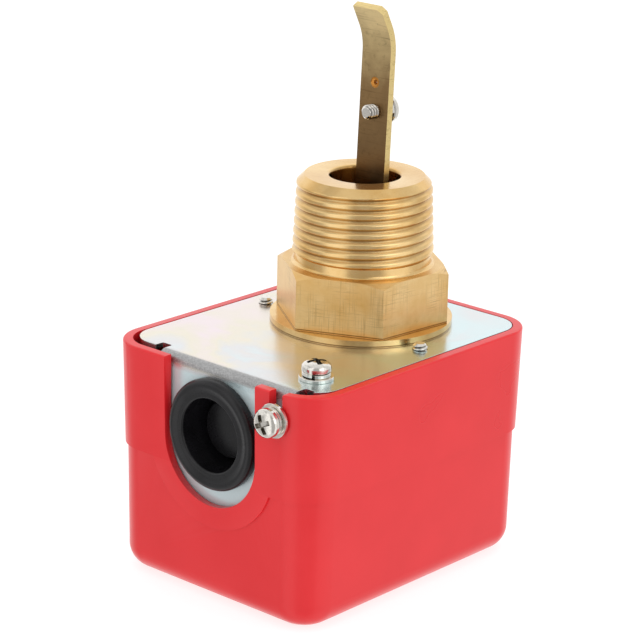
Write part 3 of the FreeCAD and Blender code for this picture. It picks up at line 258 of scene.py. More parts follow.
def plug(node, links):
    # fills a node's sockets with values or links; a node given here means its first output
    for socket, value in links.items():
        if isinstance(value, bpy.types.Node):
            value = value.outputs[0]
        if isinstance(value, bpy.types.NodeSocket):
            node.id_data.links.new(value, node.inputs[socket])
        else:
            node.inputs[socket].default_value = value


def addNode(tree, kind, links=None, **settings):
    # one shader node with its attributes, its sockets' values and what is linked into it; sockets
    # go by name or number: 1 to 4 are a map range's input and output spans, and 6 and 7 are a
    # mix's colours
    node = tree.nodes.new("ShaderNode" + kind)
    for name, value in settings.items():
        setattr(node, name, value)
    plug(node, links or {})
    return node


def newMaterial(name, **sockets):
    # an empty node material: its tree, its shader and the object's own coordinates in millimetres
    material = bpy.data.materials.new(name)
    material.use_nodes = True
    tree = material.node_tree
    tree.nodes.clear()
    shader = addNode(tree, "BsdfPrincipled",
                     {key.replace("_", " "): value for key, value in sockets.items()})
    addNode(tree, "OutputMaterial", {"Surface": shader})
    place = addNode(tree, "TexCoord").outputs["Object"]
    scaled = addNode(tree, "VectorMath", {0: place, 1: (1000, 1000, 1000)}, operation="MULTIPLY")
    return material, tree, shader, scaled


def dressed(material, shader, colour, rough, height, bump):
    # what every material ends with; the bump is its strength and its depth in millimetres
    relief = addNode(material.node_tree, "Bump", {"Height": height, "Strength": bump[0],
                                                  "Distance": bump[1] * mm})
    plug(shader, {"Base Color": colour, "Roughness": rough, "Normal": relief})
    return material


def rampOf(tree, factor, stops):
    # colour ramp with the given (position, hex) stops
    ramp = addNode(tree, "ValToRGB", {"Fac": factor})
    while len(ramp.color_ramp.elements) < len(stops):
        ramp.color_ramp.elements.new(0.5)
    for element, (position, code) in zip(ramp.color_ramp.elements, stops):
        element.position = position
        element.color = linear(code) if isinstance(code, str) else (*code, 1)
    return ramp.outputs["Color"]


print("scene: materials")
# a noise texture's values mostly lie in this span, written as a map range's input sockets
noiseSpan = {1: 0.3, 2: 0.7}

# Turned and milled forging brass (CW617N): tool marks run round the axis on turned faces, so it
# glints in thin rings; a few grey-brown handling stains
brassFinish = {"pale": "#EDCC92", "deep": "#D7AA64", "stainAndShade": "#744C22", "scuff": "#8F6B3A",
               "toolStep": 0.16, "stainSize": 14.0, "spotScale": 0.4, "patchScale": 0.13,
               "grimeAndShade": 0.14, "bore": 8.1, "seat": 1.6, "faceMiddle": 6.5, "faceHalf": 6.4,
               "duller": 0.15, "lift": 0.2, "cornerShadeAndDirt": 0.8, "boreShade": 0.75, "rough": (0.17, 0.26),
               "scratches": ((0.15, 0.15, 8.5), (7.0, 7.0, 0.1)), "bump": (0.1, 0.06)}
plateLow, plateHigh = boxOf("mounting_plate")
seatTop = plateHigh[2] + brassFinish["seat"]


def machinedBrass():
    material, tree, shader, place = newMaterial("machinedBrass", Metallic=1.0, Roughness=0.26)
    parts = addNode(tree, "SeparateXYZ", {0: place})
    flat = addNode(tree, "CombineXYZ", {0: parts.outputs[0], 1: parts.outputs[1]})
    out = addNode(tree, "VectorMath", {0: flat}, operation="LENGTH")
    rings = addNode(tree, "CombineXYZ", {0: out.outputs["Value"], 2: parts.outputs[2]})
    marks = addNode(tree, "TexNoise", {"Vector": rings, "Scale": 1 / brassFinish["toolStep"],
                                       "Detail": 2.0, "Roughness": 0.6})
    cloud = addNode(tree, "TexNoise", {"Vector": place, "Scale": 1 / brassFinish["stainSize"],
                                       "Detail": 5.0, "Roughness": 0.62})
    base = rampOf(tree, cloud, [(0.3, brassFinish["deep"]), (0.62, brassFinish["pale"])])
    spots = addNode(tree, "TexNoise", {"Vector": place, "Scale": brassFinish["spotScale"],
                                       "Detail": 7.0, "Roughness": 0.72, "Distortion": 0.3})
    spotMask = addNode(tree, "MapRange", {"Value": spots, 1: 0.64, 2: 0.78, 3: 0.0, 4: 0.45})
    # painted shade, with some grime, where the hexagon meets its seat and the seat meets the plate
    crevice, under = [addNode(tree, "Math", {0: parts.outputs[2], 1: corner + brassFinish["lift"],
                                             2: brassFinish["grimeAndShade"]}, operation="COMPARE")
                      for corner in (seatTop, plateHigh[2])]
    dirtAndShadeMix = addNode(tree, "Math", {0: crevice, 1: under}, operation="MAXIMUM")
    cornerShadeAndDirt = addNode(tree, "Math", {0: dirtAndShadeMix, 1: brassFinish["cornerShadeAndDirt"]}, operation="MULTIPLY")
    # painted shade darkens the drilled bore to brown
    shadedBore = addNode(tree, "MapRange",
                    {"Value": out.outputs["Value"], 1: brassFinish["bore"],
                     2: brassFinish["bore"] + 0.5, 3: brassFinish["boreShade"], 4: 0.0})
    # painted shade, with some grime, in the thread roots
    roots = addNode(tree, "Attribute", attribute_name="grimeAndShade").outputs["Fac"]
    inside = addNode(tree, "Math", {0: roots, 1: shadedBore}, operation="MAXIMUM")
    shadeAndSoil = addNode(tree, "Math", {0: cornerShadeAndDirt, 1: inside}, operation="MAXIMUM")
    spotsAndShade = addNode(tree, "Math", {0: shadeAndSoil, 1: spotMask}, operation="MAXIMUM")
    # fine scratches from the vice and the milling cutter, along and across the faces
    drawn = [addNode(tree, "VectorMath", {0: place, 1: stretch}, operation="MULTIPLY")
             for stretch in brassFinish["scratches"]]
    scuffs = [addNode(tree, "TexNoise", {"Vector": along, "Scale": 1.0, "Detail": 2.0,
                                         "Roughness": 0.5}) for along in drawn]
    crossed = addNode(tree, "Math", {0: scuffs[0], 1: scuffs[1]}, operation="MAXIMUM")
    scuffLine = addNode(tree, "MapRange", {"Value": crossed, 1: 0.56, 2: 0.72})
    patches = addNode(tree, "TexNoise",
                      {"Vector": place, "Scale": brassFinish["patchScale"], "Detail": 3.0})
    patch = addNode(tree, "MapRange", {"Value": patches, 1: 0.42, 2: 0.66, 3: 0.04, 4: 0.7})
    milled = addNode(tree, "Math", {0: parts.outputs[2], 1: seatTop + brassFinish["faceMiddle"],
                                    2: brassFinish["faceHalf"]}, operation="COMPARE")
    onFace = addNode(tree, "Math", {0: patch, 1: milled}, operation="MULTIPLY")
    scuffMask = addNode(tree, "Math", {0: scuffLine, 1: onFace}, operation="MULTIPLY")
    shaded = addNode(tree, "Mix", {0: scuffMask, 6: base, 7: linear(brassFinish["scuff"])},
                     data_type="RGBA")
    # the stain colour paints the stains and the shade in the corners, the bore and the roots
    colour = addNode(tree, "Mix", {0: spotsAndShade, 6: shaded.outputs[2],
                                   7: linear(brassFinish["stainAndShade"])}, data_type="RGBA")
    # the hexagon is left as milled, so it is duller than the turned thread and seat
    turnedRough = addNode(tree, "MapRange",
                          {"Value": cloud, **noiseSpan, 3: brassFinish["rough"][0],
                           4: brassFinish["rough"][1]})
    duller = addNode(tree, "Math", {0: milled, 1: brassFinish["duller"]}, operation="MULTIPLY")
    rough = addNode(tree, "Math", {0: turnedRough, 1: duller}, operation="ADD")
    return dressed(material, shader, colour.outputs[2], rough, marks, brassFinish["bump"])


# Rolled brass strip, blanked and bent: dull and darker than the turned body, with fine
# rolling lines along its length and finger marks
stripFinish = {"foot": "#6C5237", "middle": "#957750", "tip": "#E8CF98", "mark": "#4E3A22",
               "edgeHighlight": "#E6CD8E", "line": 0.12, "shadeTo": 5.0, "litAt": 60.0,
               "rough": (0.28, 0.42), "bump": (0.12, 0.05)}


def rolledBrass():
    material, tree, shader, place = newMaterial("rolledBrass", Metallic=1.0, Roughness=0.34)
    stretched = addNode(tree, "Mapping",
                        {"Vector": place, "Scale": (1 / stripFinish["line"], 1, 0.05)})
    lines = addNode(tree, "TexNoise", {"Vector": stretched, "Scale": 1.0, "Detail": 2.0})
    cloud = addNode(tree, "TexNoise", {"Vector": place, "Scale": 0.16, "Detail": 6.0,
                                       "Roughness": 0.6, "Distortion": 0.3})
    # painted shade near the body, painted light towards the tip, painted highlight on the edges
    parts = addNode(tree, "SeparateXYZ", {0: place})
    rise = addNode(tree, "MapRange", {"Value": parts.outputs[2], 1: stripFinish["shadeTo"],
                                      2: stripFinish["litAt"], 3: -0.12, 4: 0.88})
    shade = addNode(tree, "Math", {0: cloud, 1: 0.25}, operation="MULTIPLY")
    tone = addNode(tree, "Math", {0: rise, 1: shade}, operation="ADD")
    face = rampOf(tree, tone, [(0.1, stripFinish["foot"]), (0.6, stripFinish["middle"]),
                               (0.95, stripFinish["tip"])])
    # the edges, which face away from Y, get a painted highlight
    normal = addNode(tree, "TexCoord").outputs["Normal"]
    facing = addNode(tree, "SeparateXYZ", {0: normal})
    side = addNode(tree, "Math", {0: facing.outputs[1]}, operation="ABSOLUTE")
    edgeHighlightMask = addNode(tree, "MapRange", {"Value": side, 1: 0.55, 2: 0.8, 3: 1.0, 4: 0.0})
    base = addNode(tree, "Mix", {0: edgeHighlightMask, 6: face, 7: linear(stripFinish["edgeHighlight"])},
                   data_type="RGBA").outputs[2]
    marks = addNode(tree, "TexNoise",
                    {"Vector": place, "Scale": 0.5, "Detail": 5.0, "Roughness": 0.72})
    across = addNode(tree, "VectorMath", {0: place, 1: (0.09, 1.0, 2.4)}, operation="MULTIPLY")
    rubs = addNode(tree, "TexNoise",
                   {"Vector": across, "Scale": 1.0, "Detail": 4.0, "Roughness": 0.65})
    darker = addNode(tree, "Math", {0: marks, 1: rubs}, operation="MAXIMUM")
    mask = addNode(tree, "MapRange", {"Value": darker, 1: 0.55, 2: 0.75, 3: 0.0, 4: 0.5})
    colour = addNode(tree, "Mix", {0: mask, 6: base, 7: linear(stripFinish["mark"])},
                     data_type="RGBA")
    rough = addNode(tree, "MapRange", {"Value": cloud, **noiseSpan, 3: stripFinish["rough"][0],
                                       4: stripFinish["rough"][1]})
    return dressed(material, shader, colour.outputs[2], rough, lines, stripFinish["bump"])


# Steel sheet, zinc plated and clear-blue passivated: bright, with a faint oil-film tint that
# drifts from pink and straw to cyan over some tens of millimetres, and a fine grey speckle
zincFinish = {"rose": "#EADDDF", "straw": "#E6DFCF", "silver": "#DDDDDE", "cyan": "#D4E6E9",
              "drift": 26.0, "speckle": 0.36, "haze": 0.3, "bendRough": 0.5,
              "flange": (3.5, 1.5), "bendBack": (1.5, 2.3), "bendDrop": (2.4, 1.6),
              "halfWidth": 32.0, "lean": 0.24, "blue": 0.35, "bump": (0.07, 0.04)}


def zincSheet(name, rough):
    material, tree, shader, place = newMaterial(name, Metallic=1.0, Roughness=rough)
    top, face = plateHigh[2], plateLow[1]
    drift = addNode(tree, "TexNoise", {"Vector": place, "Scale": 1 / zincFinish["drift"],
                                       "Detail": 3.0, "Roughness": 0.55, "Distortion": 0.8})
    parts = addNode(tree, "SeparateXYZ", {0: place})
    # tint leans from rose on the -X side to cyan on the +X side
    lean = addNode(tree, "MapRange",
                   {"Value": parts.outputs[0], 1: -zincFinish["halfWidth"],
                    2: zincFinish["halfWidth"], 3: -zincFinish["lean"], 4: zincFinish["lean"]})
    # the flange below the bend is bluer, and the bend itself is crazed dull grey
    drop = addNode(tree, "MapRange",
                   {"Value": parts.outputs[2], 1: top - zincFinish["flange"][0],
                    2: top - zincFinish["flange"][1], 3: zincFinish["blue"], 4: 0.0})
    both = addNode(tree, "Math", {0: lean, 1: drop}, operation="ADD")
    film = addNode(tree, "Math", {0: drift, 1: both}, operation="ADD")
    base = rampOf(tree, film, [(0.24, zincFinish["rose"]), (0.38, zincFinish["straw"]),
                               (0.52, zincFinish["silver"]), (0.68, zincFinish["cyan"])])
    fine = addNode(tree, "TexNoise", {"Vector": place, "Scale": 1 / zincFinish["speckle"],
                                      "Detail": 4.0, "Roughness": 0.7})
    grey = addNode(tree, "MapRange", {"Value": fine, 1: 0.35, 2: 0.7, 3: 0.96, 4: 1.02})
    colour = addNode(tree, "VectorMath", {0: base, 1: grey}, operation="MULTIPLY")
    bendAcross = addNode(tree, "MapRange",
                         {"Value": parts.outputs[1], 1: face + zincFinish["bendBack"][0],
                          2: face + zincFinish["bendBack"][1], 3: 1.0, 4: 0.0})
    bendDown = addNode(tree, "MapRange",
                       {"Value": parts.outputs[2], 1: top - zincFinish["bendDrop"][0],
                        2: top - zincFinish["bendDrop"][1]})
    bend = addNode(tree, "Math", {0: bendAcross, 1: bendDown}, operation="MULTIPLY")
    crazed = addNode(tree, "MapRange", {"Value": fine, 1: 0.38, 2: 0.62, 3: 0.34, 4: 0.54})
    worn = addNode(tree, "Mix", {0: bend, 6: colour, 7: crazed}, data_type="RGBA")
    dull = addNode(tree, "MapRange", {"Value": bend, 3: rough, 4: zincFinish["bendRough"]})
    # the passivation lies as a thin milky haze on the flange
    haze = addNode(tree, "MapRange",
                   {"Value": drop, 1: 0.0, 2: zincFinish["blue"], 3: 1.0, 4: zincFinish["haze"]})
    plug(shader, {"Metallic": haze})
    return dressed(material, shader, worn.outputs[2], dull, fine, zincFinish["bump"])


# Zinc or nickel plated screws and washers: mirror-like dome, slightly warm, with plating grain;
# painted shade, with some grime, darkens the thread roots and the driver recess
platedFinish = {"grimeAndShade": "#2E2B28", "grain": 2.2, "tone": (0.86, 1.05), "spread": (0.8, 1.3),
                "bump": (0.08, 0.04)}


def platedSteel(name, code, rough):
    material, tree, shader, place = newMaterial(name, Metallic=1.0, Roughness=rough)
    grain = addNode(tree, "TexNoise", {"Vector": place, "Scale": platedFinish["grain"],
                                       "Detail": 4.0, "Roughness": 0.6})
    tone = addNode(tree, "MapRange", {"Value": grain, **noiseSpan, 3: platedFinish["tone"][0],
                                      4: platedFinish["tone"][1]})
    colour = addNode(tree, "VectorMath", {0: linear(code)[:3], 1: tone}, operation="MULTIPLY")
    # painted shade, with some grime, from the fourth value of the grids
    grimeAndShade = addNode(tree, "Attribute", attribute_name="grimeAndShade").outputs["Fac"]
    dirtAndShadeMix = addNode(tree, "Mix", {0: grimeAndShade, 6: colour, 7: linear(platedFinish["grimeAndShade"])},
                    data_type="RGBA")
    wear = addNode(tree, "MapRange",
                   {"Value": grain, **noiseSpan, 3: rough * platedFinish["spread"][0],
                    4: rough * platedFinish["spread"][1]})
    return dressed(material, shader, dirtAndShadeMix.outputs[2], wear, grain, platedFinish["bump"])


# Moulded ABS: even saturated colour, soft gloss with the faint orange peel of a polished mould
absFinish = {"red": "#E0242A", "deep": "#DA1F25", "peel": 1.6, "rough": (0.26, 0.36),
             "bump": (0.06, 0.08)}


def mouldedAbs():
    material, tree, shader, place = newMaterial("mouldedAbs", Roughness=0.3, IOR=1.53,
                                                Specular_IOR_Level=0.43)
    cloud = addNode(tree, "TexNoise", {"Vector": place, "Scale": 0.05, "Detail": 3.0})
    base = rampOf(tree, cloud, [(0.35, absFinish["deep"]), (0.65, absFinish["red"])])
    peel = addNode(tree, "TexNoise",
                   {"Vector": place, "Scale": 1 / absFinish["peel"], "Detail": 2.0})
    rough = addNode(tree, "MapRange", {"Value": cloud, **noiseSpan, 3: absFinish["rough"][0],
                                       4: absFinish["rough"][1]})
    return dressed(material, shader, base, rough, peel, absFinish["bump"])


# Moulded plastics and rubber of one colour: a matt skin with a fine spark-eroded grain
skinFinish = {"cloud": 0.2, "spread": (0.88, 1.12), "depth": 0.06}


def mouldedSkin(name, dark, pale, rough, grainSize, depth=0.15, **sockets):
    material, tree, shader, place = newMaterial(name, Roughness=rough, **sockets)
    cloud = addNode(tree, "TexNoise", {"Vector": place, "Scale": skinFinish["cloud"],
                                       "Detail": 5.0, "Roughness": 0.6})
    base = rampOf(tree, cloud, [(0.35, dark), (0.68, pale)])
    grain = addNode(tree, "TexNoise", {"Vector": place, "Scale": 1 / grainSize, "Detail": 3.0})
    rise = addNode(tree, "MapRange",
                   {"Value": grain, **noiseSpan, 3: rough * skinFinish["spread"][0],
                    4: rough * skinFinish["spread"][1]})
    return dressed(material, shader, base, rise, grain, (depth, skinFinish["depth"]))


brass = machinedBrass()
strip = rolledBrass()
plateZinc = zincSheet("zincPlatedSheet", 0.24)
frameZinc = zincSheet("zincPlatedFrame", 0.34)
screwPlating = platedSteel("platedScrewSteel", "#E6E2DA", 0.13)
# blanked and zinc plated arm and rivets: duller than the screws
armSteel = platedSteel("platedArmSteel", "#C4C4BF", 0.32)
# centreless-ground pin: grey and glossy
pinSteel = platedSteel("groundPinSteel", "#BDBDBC", 0.18)
# cold-drawn spring wire: dark grey with a dull shine
springSteel = platedSteel("drawnSpringSteel", "#8E8D8A", 0.28)
# hot-tinned brass terminals: pale straw
tinned = platedSteel("tinnedBrass", "#CFC49C", 0.3)
# phosphor bronze, formed thin: reddish gold
bronze = platedSteel("phosphorBronze", "#C98E5C", 0.26)
# freshly tapped brass: coppery where the light is caught in the hole
tappedBrass = platedSteel("tappedBrass", "#C8873F", 0.3)
redAbs = mouldedAbs()
# EPDM rubber: soft black with a grey bloom
rubber = mouldedSkin("mouldedEpdm", "#0E0D0F", "#171619", 0.3, 0.5, 0.12, IOR=1.5,
                     Specular_IOR_Level=0.38)
# phenolic switch case: hard black moulding
phenolic = mouldedSkin("mouldedPhenolic", "#17181A", "#232426", 0.38, 0.4, 0.1, IOR=1.6)
# acetal plunger: waxy dark red
plungerRed = mouldedSkin("mouldedAcetal", "#A32C22", "#B4382B", 0.34, 0.4, 0.08, IOR=1.48)
# pressed insulating card: fibrous grey-green fish paper
fishPaper = mouldedSkin("pressedFishPaper", "#8D8A72", "#A5A187", 0.7, 0.25, 0.4, IOR=1.5)

print("scene: brass body")
# Hexagon, seat, neck and spigot: the radius of each level follows the angle. On the hexagon it
# is half the flats over cos of the angle from the face's middle, and the top's height falls
# with that radius at the bevel angle, which draws the scalloped crescents.
bodySizes = {"flats": 36.2, "turn": 24.7, "bevel": 30, "bevelStart": 18.8, "hexHeight": 12.9,
             "neck": 16, "neckFillet": 0.8, "neckHeight": 2.3, "neckStep": 0.8, "seat": 21.45,
             "seatThick": 1.6, "spigot": 12.5, "bore": 8, "lip": 5.7, "lipHeight": 2,
             "perFace": 24}
bodyLow, bodyHigh = boxOf("brass_body")
hexTop = -bodySizes["neckHeight"]
hexFoot = hexTop - bodySizes["hexHeight"]
seatFoot = hexFoot - bodySizes["seatThick"]


def hexagonRows(size):
    angle = np.radians(size["turn"]) + np.linspace(0, 2 * np.pi, 6 * size["perFace"] + 1)
    angle[-1] = angle[0]
    inFace = (angle - math.radians(size["turn"])) % (math.pi / 3) - math.pi / 6
    rim = size["flats"] / 2 / np.cos(inFace)
    even = np.ones_like(angle)
    start = np.minimum(rim, size["bevelStart"]) - 0.02
    fall = np.maximum(rim - size["bevelStart"], 0) * math.tan(math.radians(size["bevel"]))
    fillet = arc((size["neck"] + size["neckFillet"], hexTop + size["neckFillet"]),
                 size["neckFillet"], 270, 180, 6)
    foot = bodyLow[2] * even
    levels = [(size["lip"] * even, foot), (size["spigot"] * even, foot),
              (size["spigot"] * even, seatFoot * even), (size["seat"] * even, seatFoot * even),
              (size["seat"] * even, hexFoot * even), (rim, hexFoot * even),
              (rim, hexTop - fall), (start, hexTop * even),
              *[(reach * even, rise * even) for reach, rise in fillet],
              (size["neck"] * even, 0 * even),
              ((size["neck"] - size["neckStep"]) * even, 0.02 * even)]
    radius, height = np.array(levels).transpose(1, 0, 2)
    return np.stack([radius * np.cos(angle), radius * np.sin(angle), height], axis=-1)


makePiece("brass_hexagon", [hexagonRows(bodySizes)], brass, "brass_body", bevel=0.13, sharp=24)

# one-inch pipe thread, 11 to the inch, rounded 55 degree form; its radius tapers 1 in 22, which
# is more than the standard's 1 in 32
threadSizes = {"radius": 16.6, "depth": 0.66, "pitch": 2.309, "length": 18.5, "taper": 1 / 22,
               "lead": 1.75, "footLead": 0.6, "crest": 0.2, "grimeAndShade": 0.42, "mouthFlat": 0.95,
               "mouthRound": 0.75}


def pipeThread(size):
    outside = threaded(size, around=180, perTurn=16)
    top, bore, lip = bodyHigh[2], bodySizes["bore"], bodySizes["lip"]
    ring = np.hypot(outside[-1, :, 0], outside[-1, :, 1]).min()
    lipTop = bodyLow[2] + bodySizes["lipHeight"]
    corner = (bore + size["mouthFlat"], top - size["mouthRound"])
    inside = revolved([(ring, top), *arc(corner, size["mouthRound"], 90, 180, 5), (bore, lipTop),
                       (lip, lipTop), (lip, bodyLow[2])], around=180)
    return [outside, inside]


makePiece("brass_thread", pipeThread(threadSizes), brass, "brass_body", sharp=38)

print("scene: fasteners")
# A pan head's shares of its height and radius; "beside" is the column just outside an arm, "dome"
# the power of the crown's curve, "shallower" what the recess loses along its arms
headShape = {"side": 0.42, "recess": 0.8, "arm": 0.3, "reach": 0.66, "beside": 1.12, "dome": 2.4,
             "shallower": 0.4, "grimeAndShade": 0.5}


# Pan head with a cross recess. Rows are circles from the crown's middle to the rim; in each
# quadrant the columns crowd along the four arms, so that the recess has straight edges: angle =
# arcsin(half arm / radius) times the column's share, and height = side + rise times the root of
# 1 - (distance out / radius) to the dome's power.
def crossHead(radius, height, sideHeight, recess, armWidth, armReach):
    beside = headShape["beside"]
    share = np.array([-beside, -1, -0.5, 0, 0.5, 1, beside])
    inner = np.array([0.0, 0.2, 0.4, 0.6, 0.75, 0.9, 0.97])
    corner = armWidth / 2 * math.sqrt(2)
    outerRows = np.linspace(corner * 1.02, armReach, 6)
    beyond = armReach + np.array([0.02, 0.12, 0.3])
    crown = np.linspace(beyond[-1] + 0.1, radius, 9)
    rows = np.concatenate([inner * corner, outerRows, beyond, crown])
    # neighbouring arms never meet
    half = np.minimum(np.arcsin(armWidth / 2 / np.maximum(rows, corner)),
                      math.pi / 4 / (beside + 0.01))
    angle, inArm = [], []
    for quarter in range(4):
        for place in share:
            angle.append(quarter * math.pi / 2 + half * place)
            inArm.append(np.full(rows.shape, abs(place) <= 1.0))
        for fill in (0.25, 0.5, 0.75):
            start, stop = half * beside, math.pi / 2 - half * beside
            angle.append(quarter * math.pi / 2 + start + (stop - start) * fill)
            inArm.append(np.full(rows.shape, False))
    angle = np.array(angle + [angle[0] + 2 * math.pi]).T
    inArm = np.array(inArm + [inArm[0]]).T
    ring = rows[:, None]
    dome = np.sqrt(np.clip(1 - (ring / radius) ** headShape["dome"], 0, 1))
    inCross = (inArm | (ring < corner)) & (ring <= armReach + 0.001)
    depth = recess * (1 - headShape["shallower"] * np.clip(ring / armReach, 0, 1) ** 1.4)
    top = sideHeight + (height - sideHeight) * dome - np.where(inCross, depth, 0)
    # the fourth value is painted shade, with some grime, in the cross recess
    head = np.stack([ring * np.cos(angle), ring * np.sin(angle), top,
                     np.where(inCross, headShape["grimeAndShade"], 0)], axis=-1)
    return head[::-1]


def headSkirt(radius, sideHeight, shank, edge=0.25):
    # the head's side and underside, from the shank out to the rim
    return revolved([(shank * 0.9, 0), (radius - edge, 0), (radius, edge), (radius, sideHeight)],
                    around=80)


# a screw thread's depth and the cut at its end, in pitches
# the last value is the painted shade, with some grime, in the thread roots
tipShape = {"depth": 0.5, "lead": 0.7, "crest": 0.1, "grimeAndShade": 0.85}


def screwTip(size, length, around=48):
    # a threaded shank pointing along +Z from zero, closed at its end
    lead = size["pitch"] * tipShape["lead"]
    body = threaded({"radius": size["shank"], "depth": size["pitch"] * tipShape["depth"],
                     "crest": tipShape["crest"], "pitch": size["pitch"], "length": length,
                     "lead": lead, "footLead": 0, "taper": 0, "grimeAndShade": tipShape["grimeAndShade"]},
                    around=around, perTurn=10)
    return [body, revolved([(size["shank"] - lead, length), (0, length)], around=around)]


# "open" is an M3.5 thread whose 0.6 pitch is drawn coarser, on the shanks that stand in the open
panSizes = {"m35": {"shank": 1.74, "pitch": 0.6}, "open": {"shank": 1.74, "pitch": 0.9},
            "m3": {"shank": 1.46, "pitch": 0.5}, "m29": {"shank": 1.42, "pitch": 0.5}}


def panScrew(size, headRadius, headHeight, length, at, towards, spin):
    # head above zero, threaded shank below it; `at` is the middle of the head's seat
    side = headHeight * headShape["side"]
    head = crossHead(headRadius, headHeight, side, headHeight * headShape["recess"],
                     headRadius * headShape["arm"], headRadius * headShape["reach"])
    away = tuple(-v for v in towards)
    return [placed(head, at, towards, spin),
            placed(headSkirt(headRadius, side, size["shank"]), at, towards),
            *[placed(part, at, away) for part in screwTip(size, length)]]


def screwsOf(node, along, faces, size, headHeight, spins):
    # the screws of one node, read from the boxes of its solids; none of them faces along X
    grids = []
    for (low, high), face, spin in zip(solidBoxes(node, along), faces, spins):
        axis = int(np.argmax(np.abs(face)))
        seat = (low + high) / 2
        seat[axis] = (high if face[axis] > 0 else low)[axis] - face[axis] * headHeight
        grids += panScrew(size, (high - low)[0] / 2, headHeight, (high - low)[axis] - headHeight,
                          seat, face, spin)
    return grids


up, down, front, back = (0, 0, 1), (0, 0, -1), (0, -1, 0), (0, 1, 0)
for name, node, along, faces, size, headHeight, spins in (
        ("earth_and_cover_screws", "pan_screws", 1, [front, up], "m35", 2.5, [24, 62]),
        ("frame_foot_screws", "frame_screws", 0, [down, down], "open", 2.2, [10, 70]),
        ("switch_fixing_screws", "switch_screws", 0, [back, back], "m29", 1.8, [15, 50]),
        ("terminal_clamp_screws", "terminal_screws", 0, [back] * 3, "m3", 1.8, [5, 38, 71])):
    makePiece(name, screwsOf(node, along, faces, panSizes[size], headHeight, spins),
              screwPlating, node, sharp=40)

washerSizes = {"hole": 1.85, "gap": 12, "rise": 0.16}


def washersOf(node, faces, gap, rise, spins):
    # flat rings, or split ones that climb by the rise, in the boxes of a node's solids
    grids = []
    for (low, high), face, spin in zip(solidBoxes(node, 1), faces, spins):
        half = ((high - low)[int(np.argmax(np.abs(face)))] - rise) / 2
        grids += [placed(part, (low + high) / 2, face, spin)
                  for part in sectionRing(washerSizes["hole"], (high - low)[0] / 2, -half, half,
                                          gap=gap, rise=rise)]
    return grids


makePiece("split_spring_washers",
          washersOf("spring_washers", [front, up], washerSizes["gap"], washerSizes["rise"],
                    [205, 300]), screwPlating, "spring_washers")
makePiece("plain_washers", washersOf("flat_washers", [front, up], 0, 0, [0, 0]),
          screwPlating, "flat_washers")

print("scene: paddle lever")
# "open" is how far the split washer springs open, with no paddle clamped
leverSizes = {"lean": 2.2, "edge": 0.18, "headHeight": 2.5, "open": 1.2, "play": (0.03, 0.07)}
leaning = math.radians(leverSizes["lean"])
leverAxis = np.array([0, math.cos(leaning), -math.sin(leaning)])
upAxis = np.array([0, math.sin(leaning), math.cos(leaning)])
softened("lever", strip, leverSizes["edge"])
screwLow, screwHigh = boxOf("lever_screw")
headRadius = (screwHigh[0] - screwLow[0]) / 2
screwSpan = (screwHigh - screwLow)[1] / math.cos(leaning) - headRadius * math.sin(leaning)
washerLow, washerHigh = boxOf("lever_spring_washer")
washerMiddle = (washerLow + washerHigh) / 2
washerSpan = washerHigh - washerLow
washerThick = (washerSpan[1] - washerSpan[0] * math.sin(leaning)) / math.cos(leaning)
seat = washerMiddle + leverAxis * (washerThick / 2 + leverSizes["open"])
shankLength = screwSpan - leverSizes["headHeight"] + leverSizes["open"]
makePiece("paddle_clamp_screw", panScrew(panSizes["open"], headRadius, leverSizes["headHeight"],
                                         shankLength, seat, tuple(leverAxis), 35),
          screwPlating, "lever_screw", sharp=40)

# the free hole is tapped: a thread lines it, "height" and "ahead" are from the pivot's axis
holeSizes = {"radius": 1.25, "depth": 0.7, "pitch": 0.5, "height": 76.6, "ahead": 0.5,
             "thick": 1.8, "inset": 0.12, "clear": 0.02}
pivotLow, pivotHigh = boxOf("pivot_pin")
holeMiddle = ((pivotLow + pivotHigh) / 2 * [0, 1, 1] + upAxis * holeSizes["height"]
              + leverAxis * holeSizes["ahead"])


def tappedHole(size, around=48, perPitch=8):
    # radius = hole - depth times a triangle wave of (depth along the hole / pitch + turn)
    angle = np.linspace(0, 2 * np.pi, around + 1)
    end = size["thick"] / 2 - size["inset"]
    along = np.linspace(-end, end, int(size["thick"] / size["pitch"] * perPitch) + 1)[:, None]
    wave = np.abs(2 * ((along / size["pitch"] - angle / (2 * np.pi)) % 1) - 1)
    radius = size["radius"] - size["clear"] - size["depth"] * wave
    inside = np.stack([radius * np.cos(angle), radius * np.sin(angle),
                       along + 0 * angle], axis=-1)
    inside[:, -1] = inside[:, 0]
    rim = (size["radius"] + size["clear"]) * np.stack([np.cos(angle), np.sin(angle)], axis=-1)
    ends = [np.concatenate([rim, np.full((around + 1, 1), z)], axis=1)
            for z in (along[0, 0], along[-1, 0])]
    return np.stack([ends[1], *inside[::-1], ends[0]])


makePiece("paddle_hole_thread", [placed(tappedHole(holeSizes), holeMiddle, tuple(leverAxis))],
          tappedBrass, "lever", sharp=50)
makePiece("paddle_screw_washer",
          [placed(part, washerMiddle, tuple(leverAxis), 190)
           for part in sectionRing(washerSizes["hole"], washerSpan[0] / 2,
                                   (leverSizes["open"] - washerThick) / 2 + leverSizes["play"][0],
                                   (leverSizes["open"] + washerThick) / 2 - leverSizes["play"][1],
                                   washerSizes["gap"], leverSizes["open"])],
          screwPlating, "lever_spring_washer")

print("scene: housing")
softened("mounting_plate", plateZinc, 0.14)
softened("cover", redAbs, 0.25, sharp=50)

# Grommet: a revolved profile with a round bead outside, a shallow trough, a low rim rolled into
# the mouth, and a thicker pad moulded on the floor of the recess
grommetSizes = {"lip": 2.9, "hole": 11, "innerLip": 2.2, "mouth": 8.5, "floor": 7.7, "cup": 10.5,
                "web": 1.3, "padRadius": 7.2, "padHeight": 4.2, "sheet": 1.2, "bead": 1.45,
                "trough": 0.42, "rim": 0.75, "rimDrop": 0.2}
grommetLow, grommetHigh = boxOf("cable_grommet")


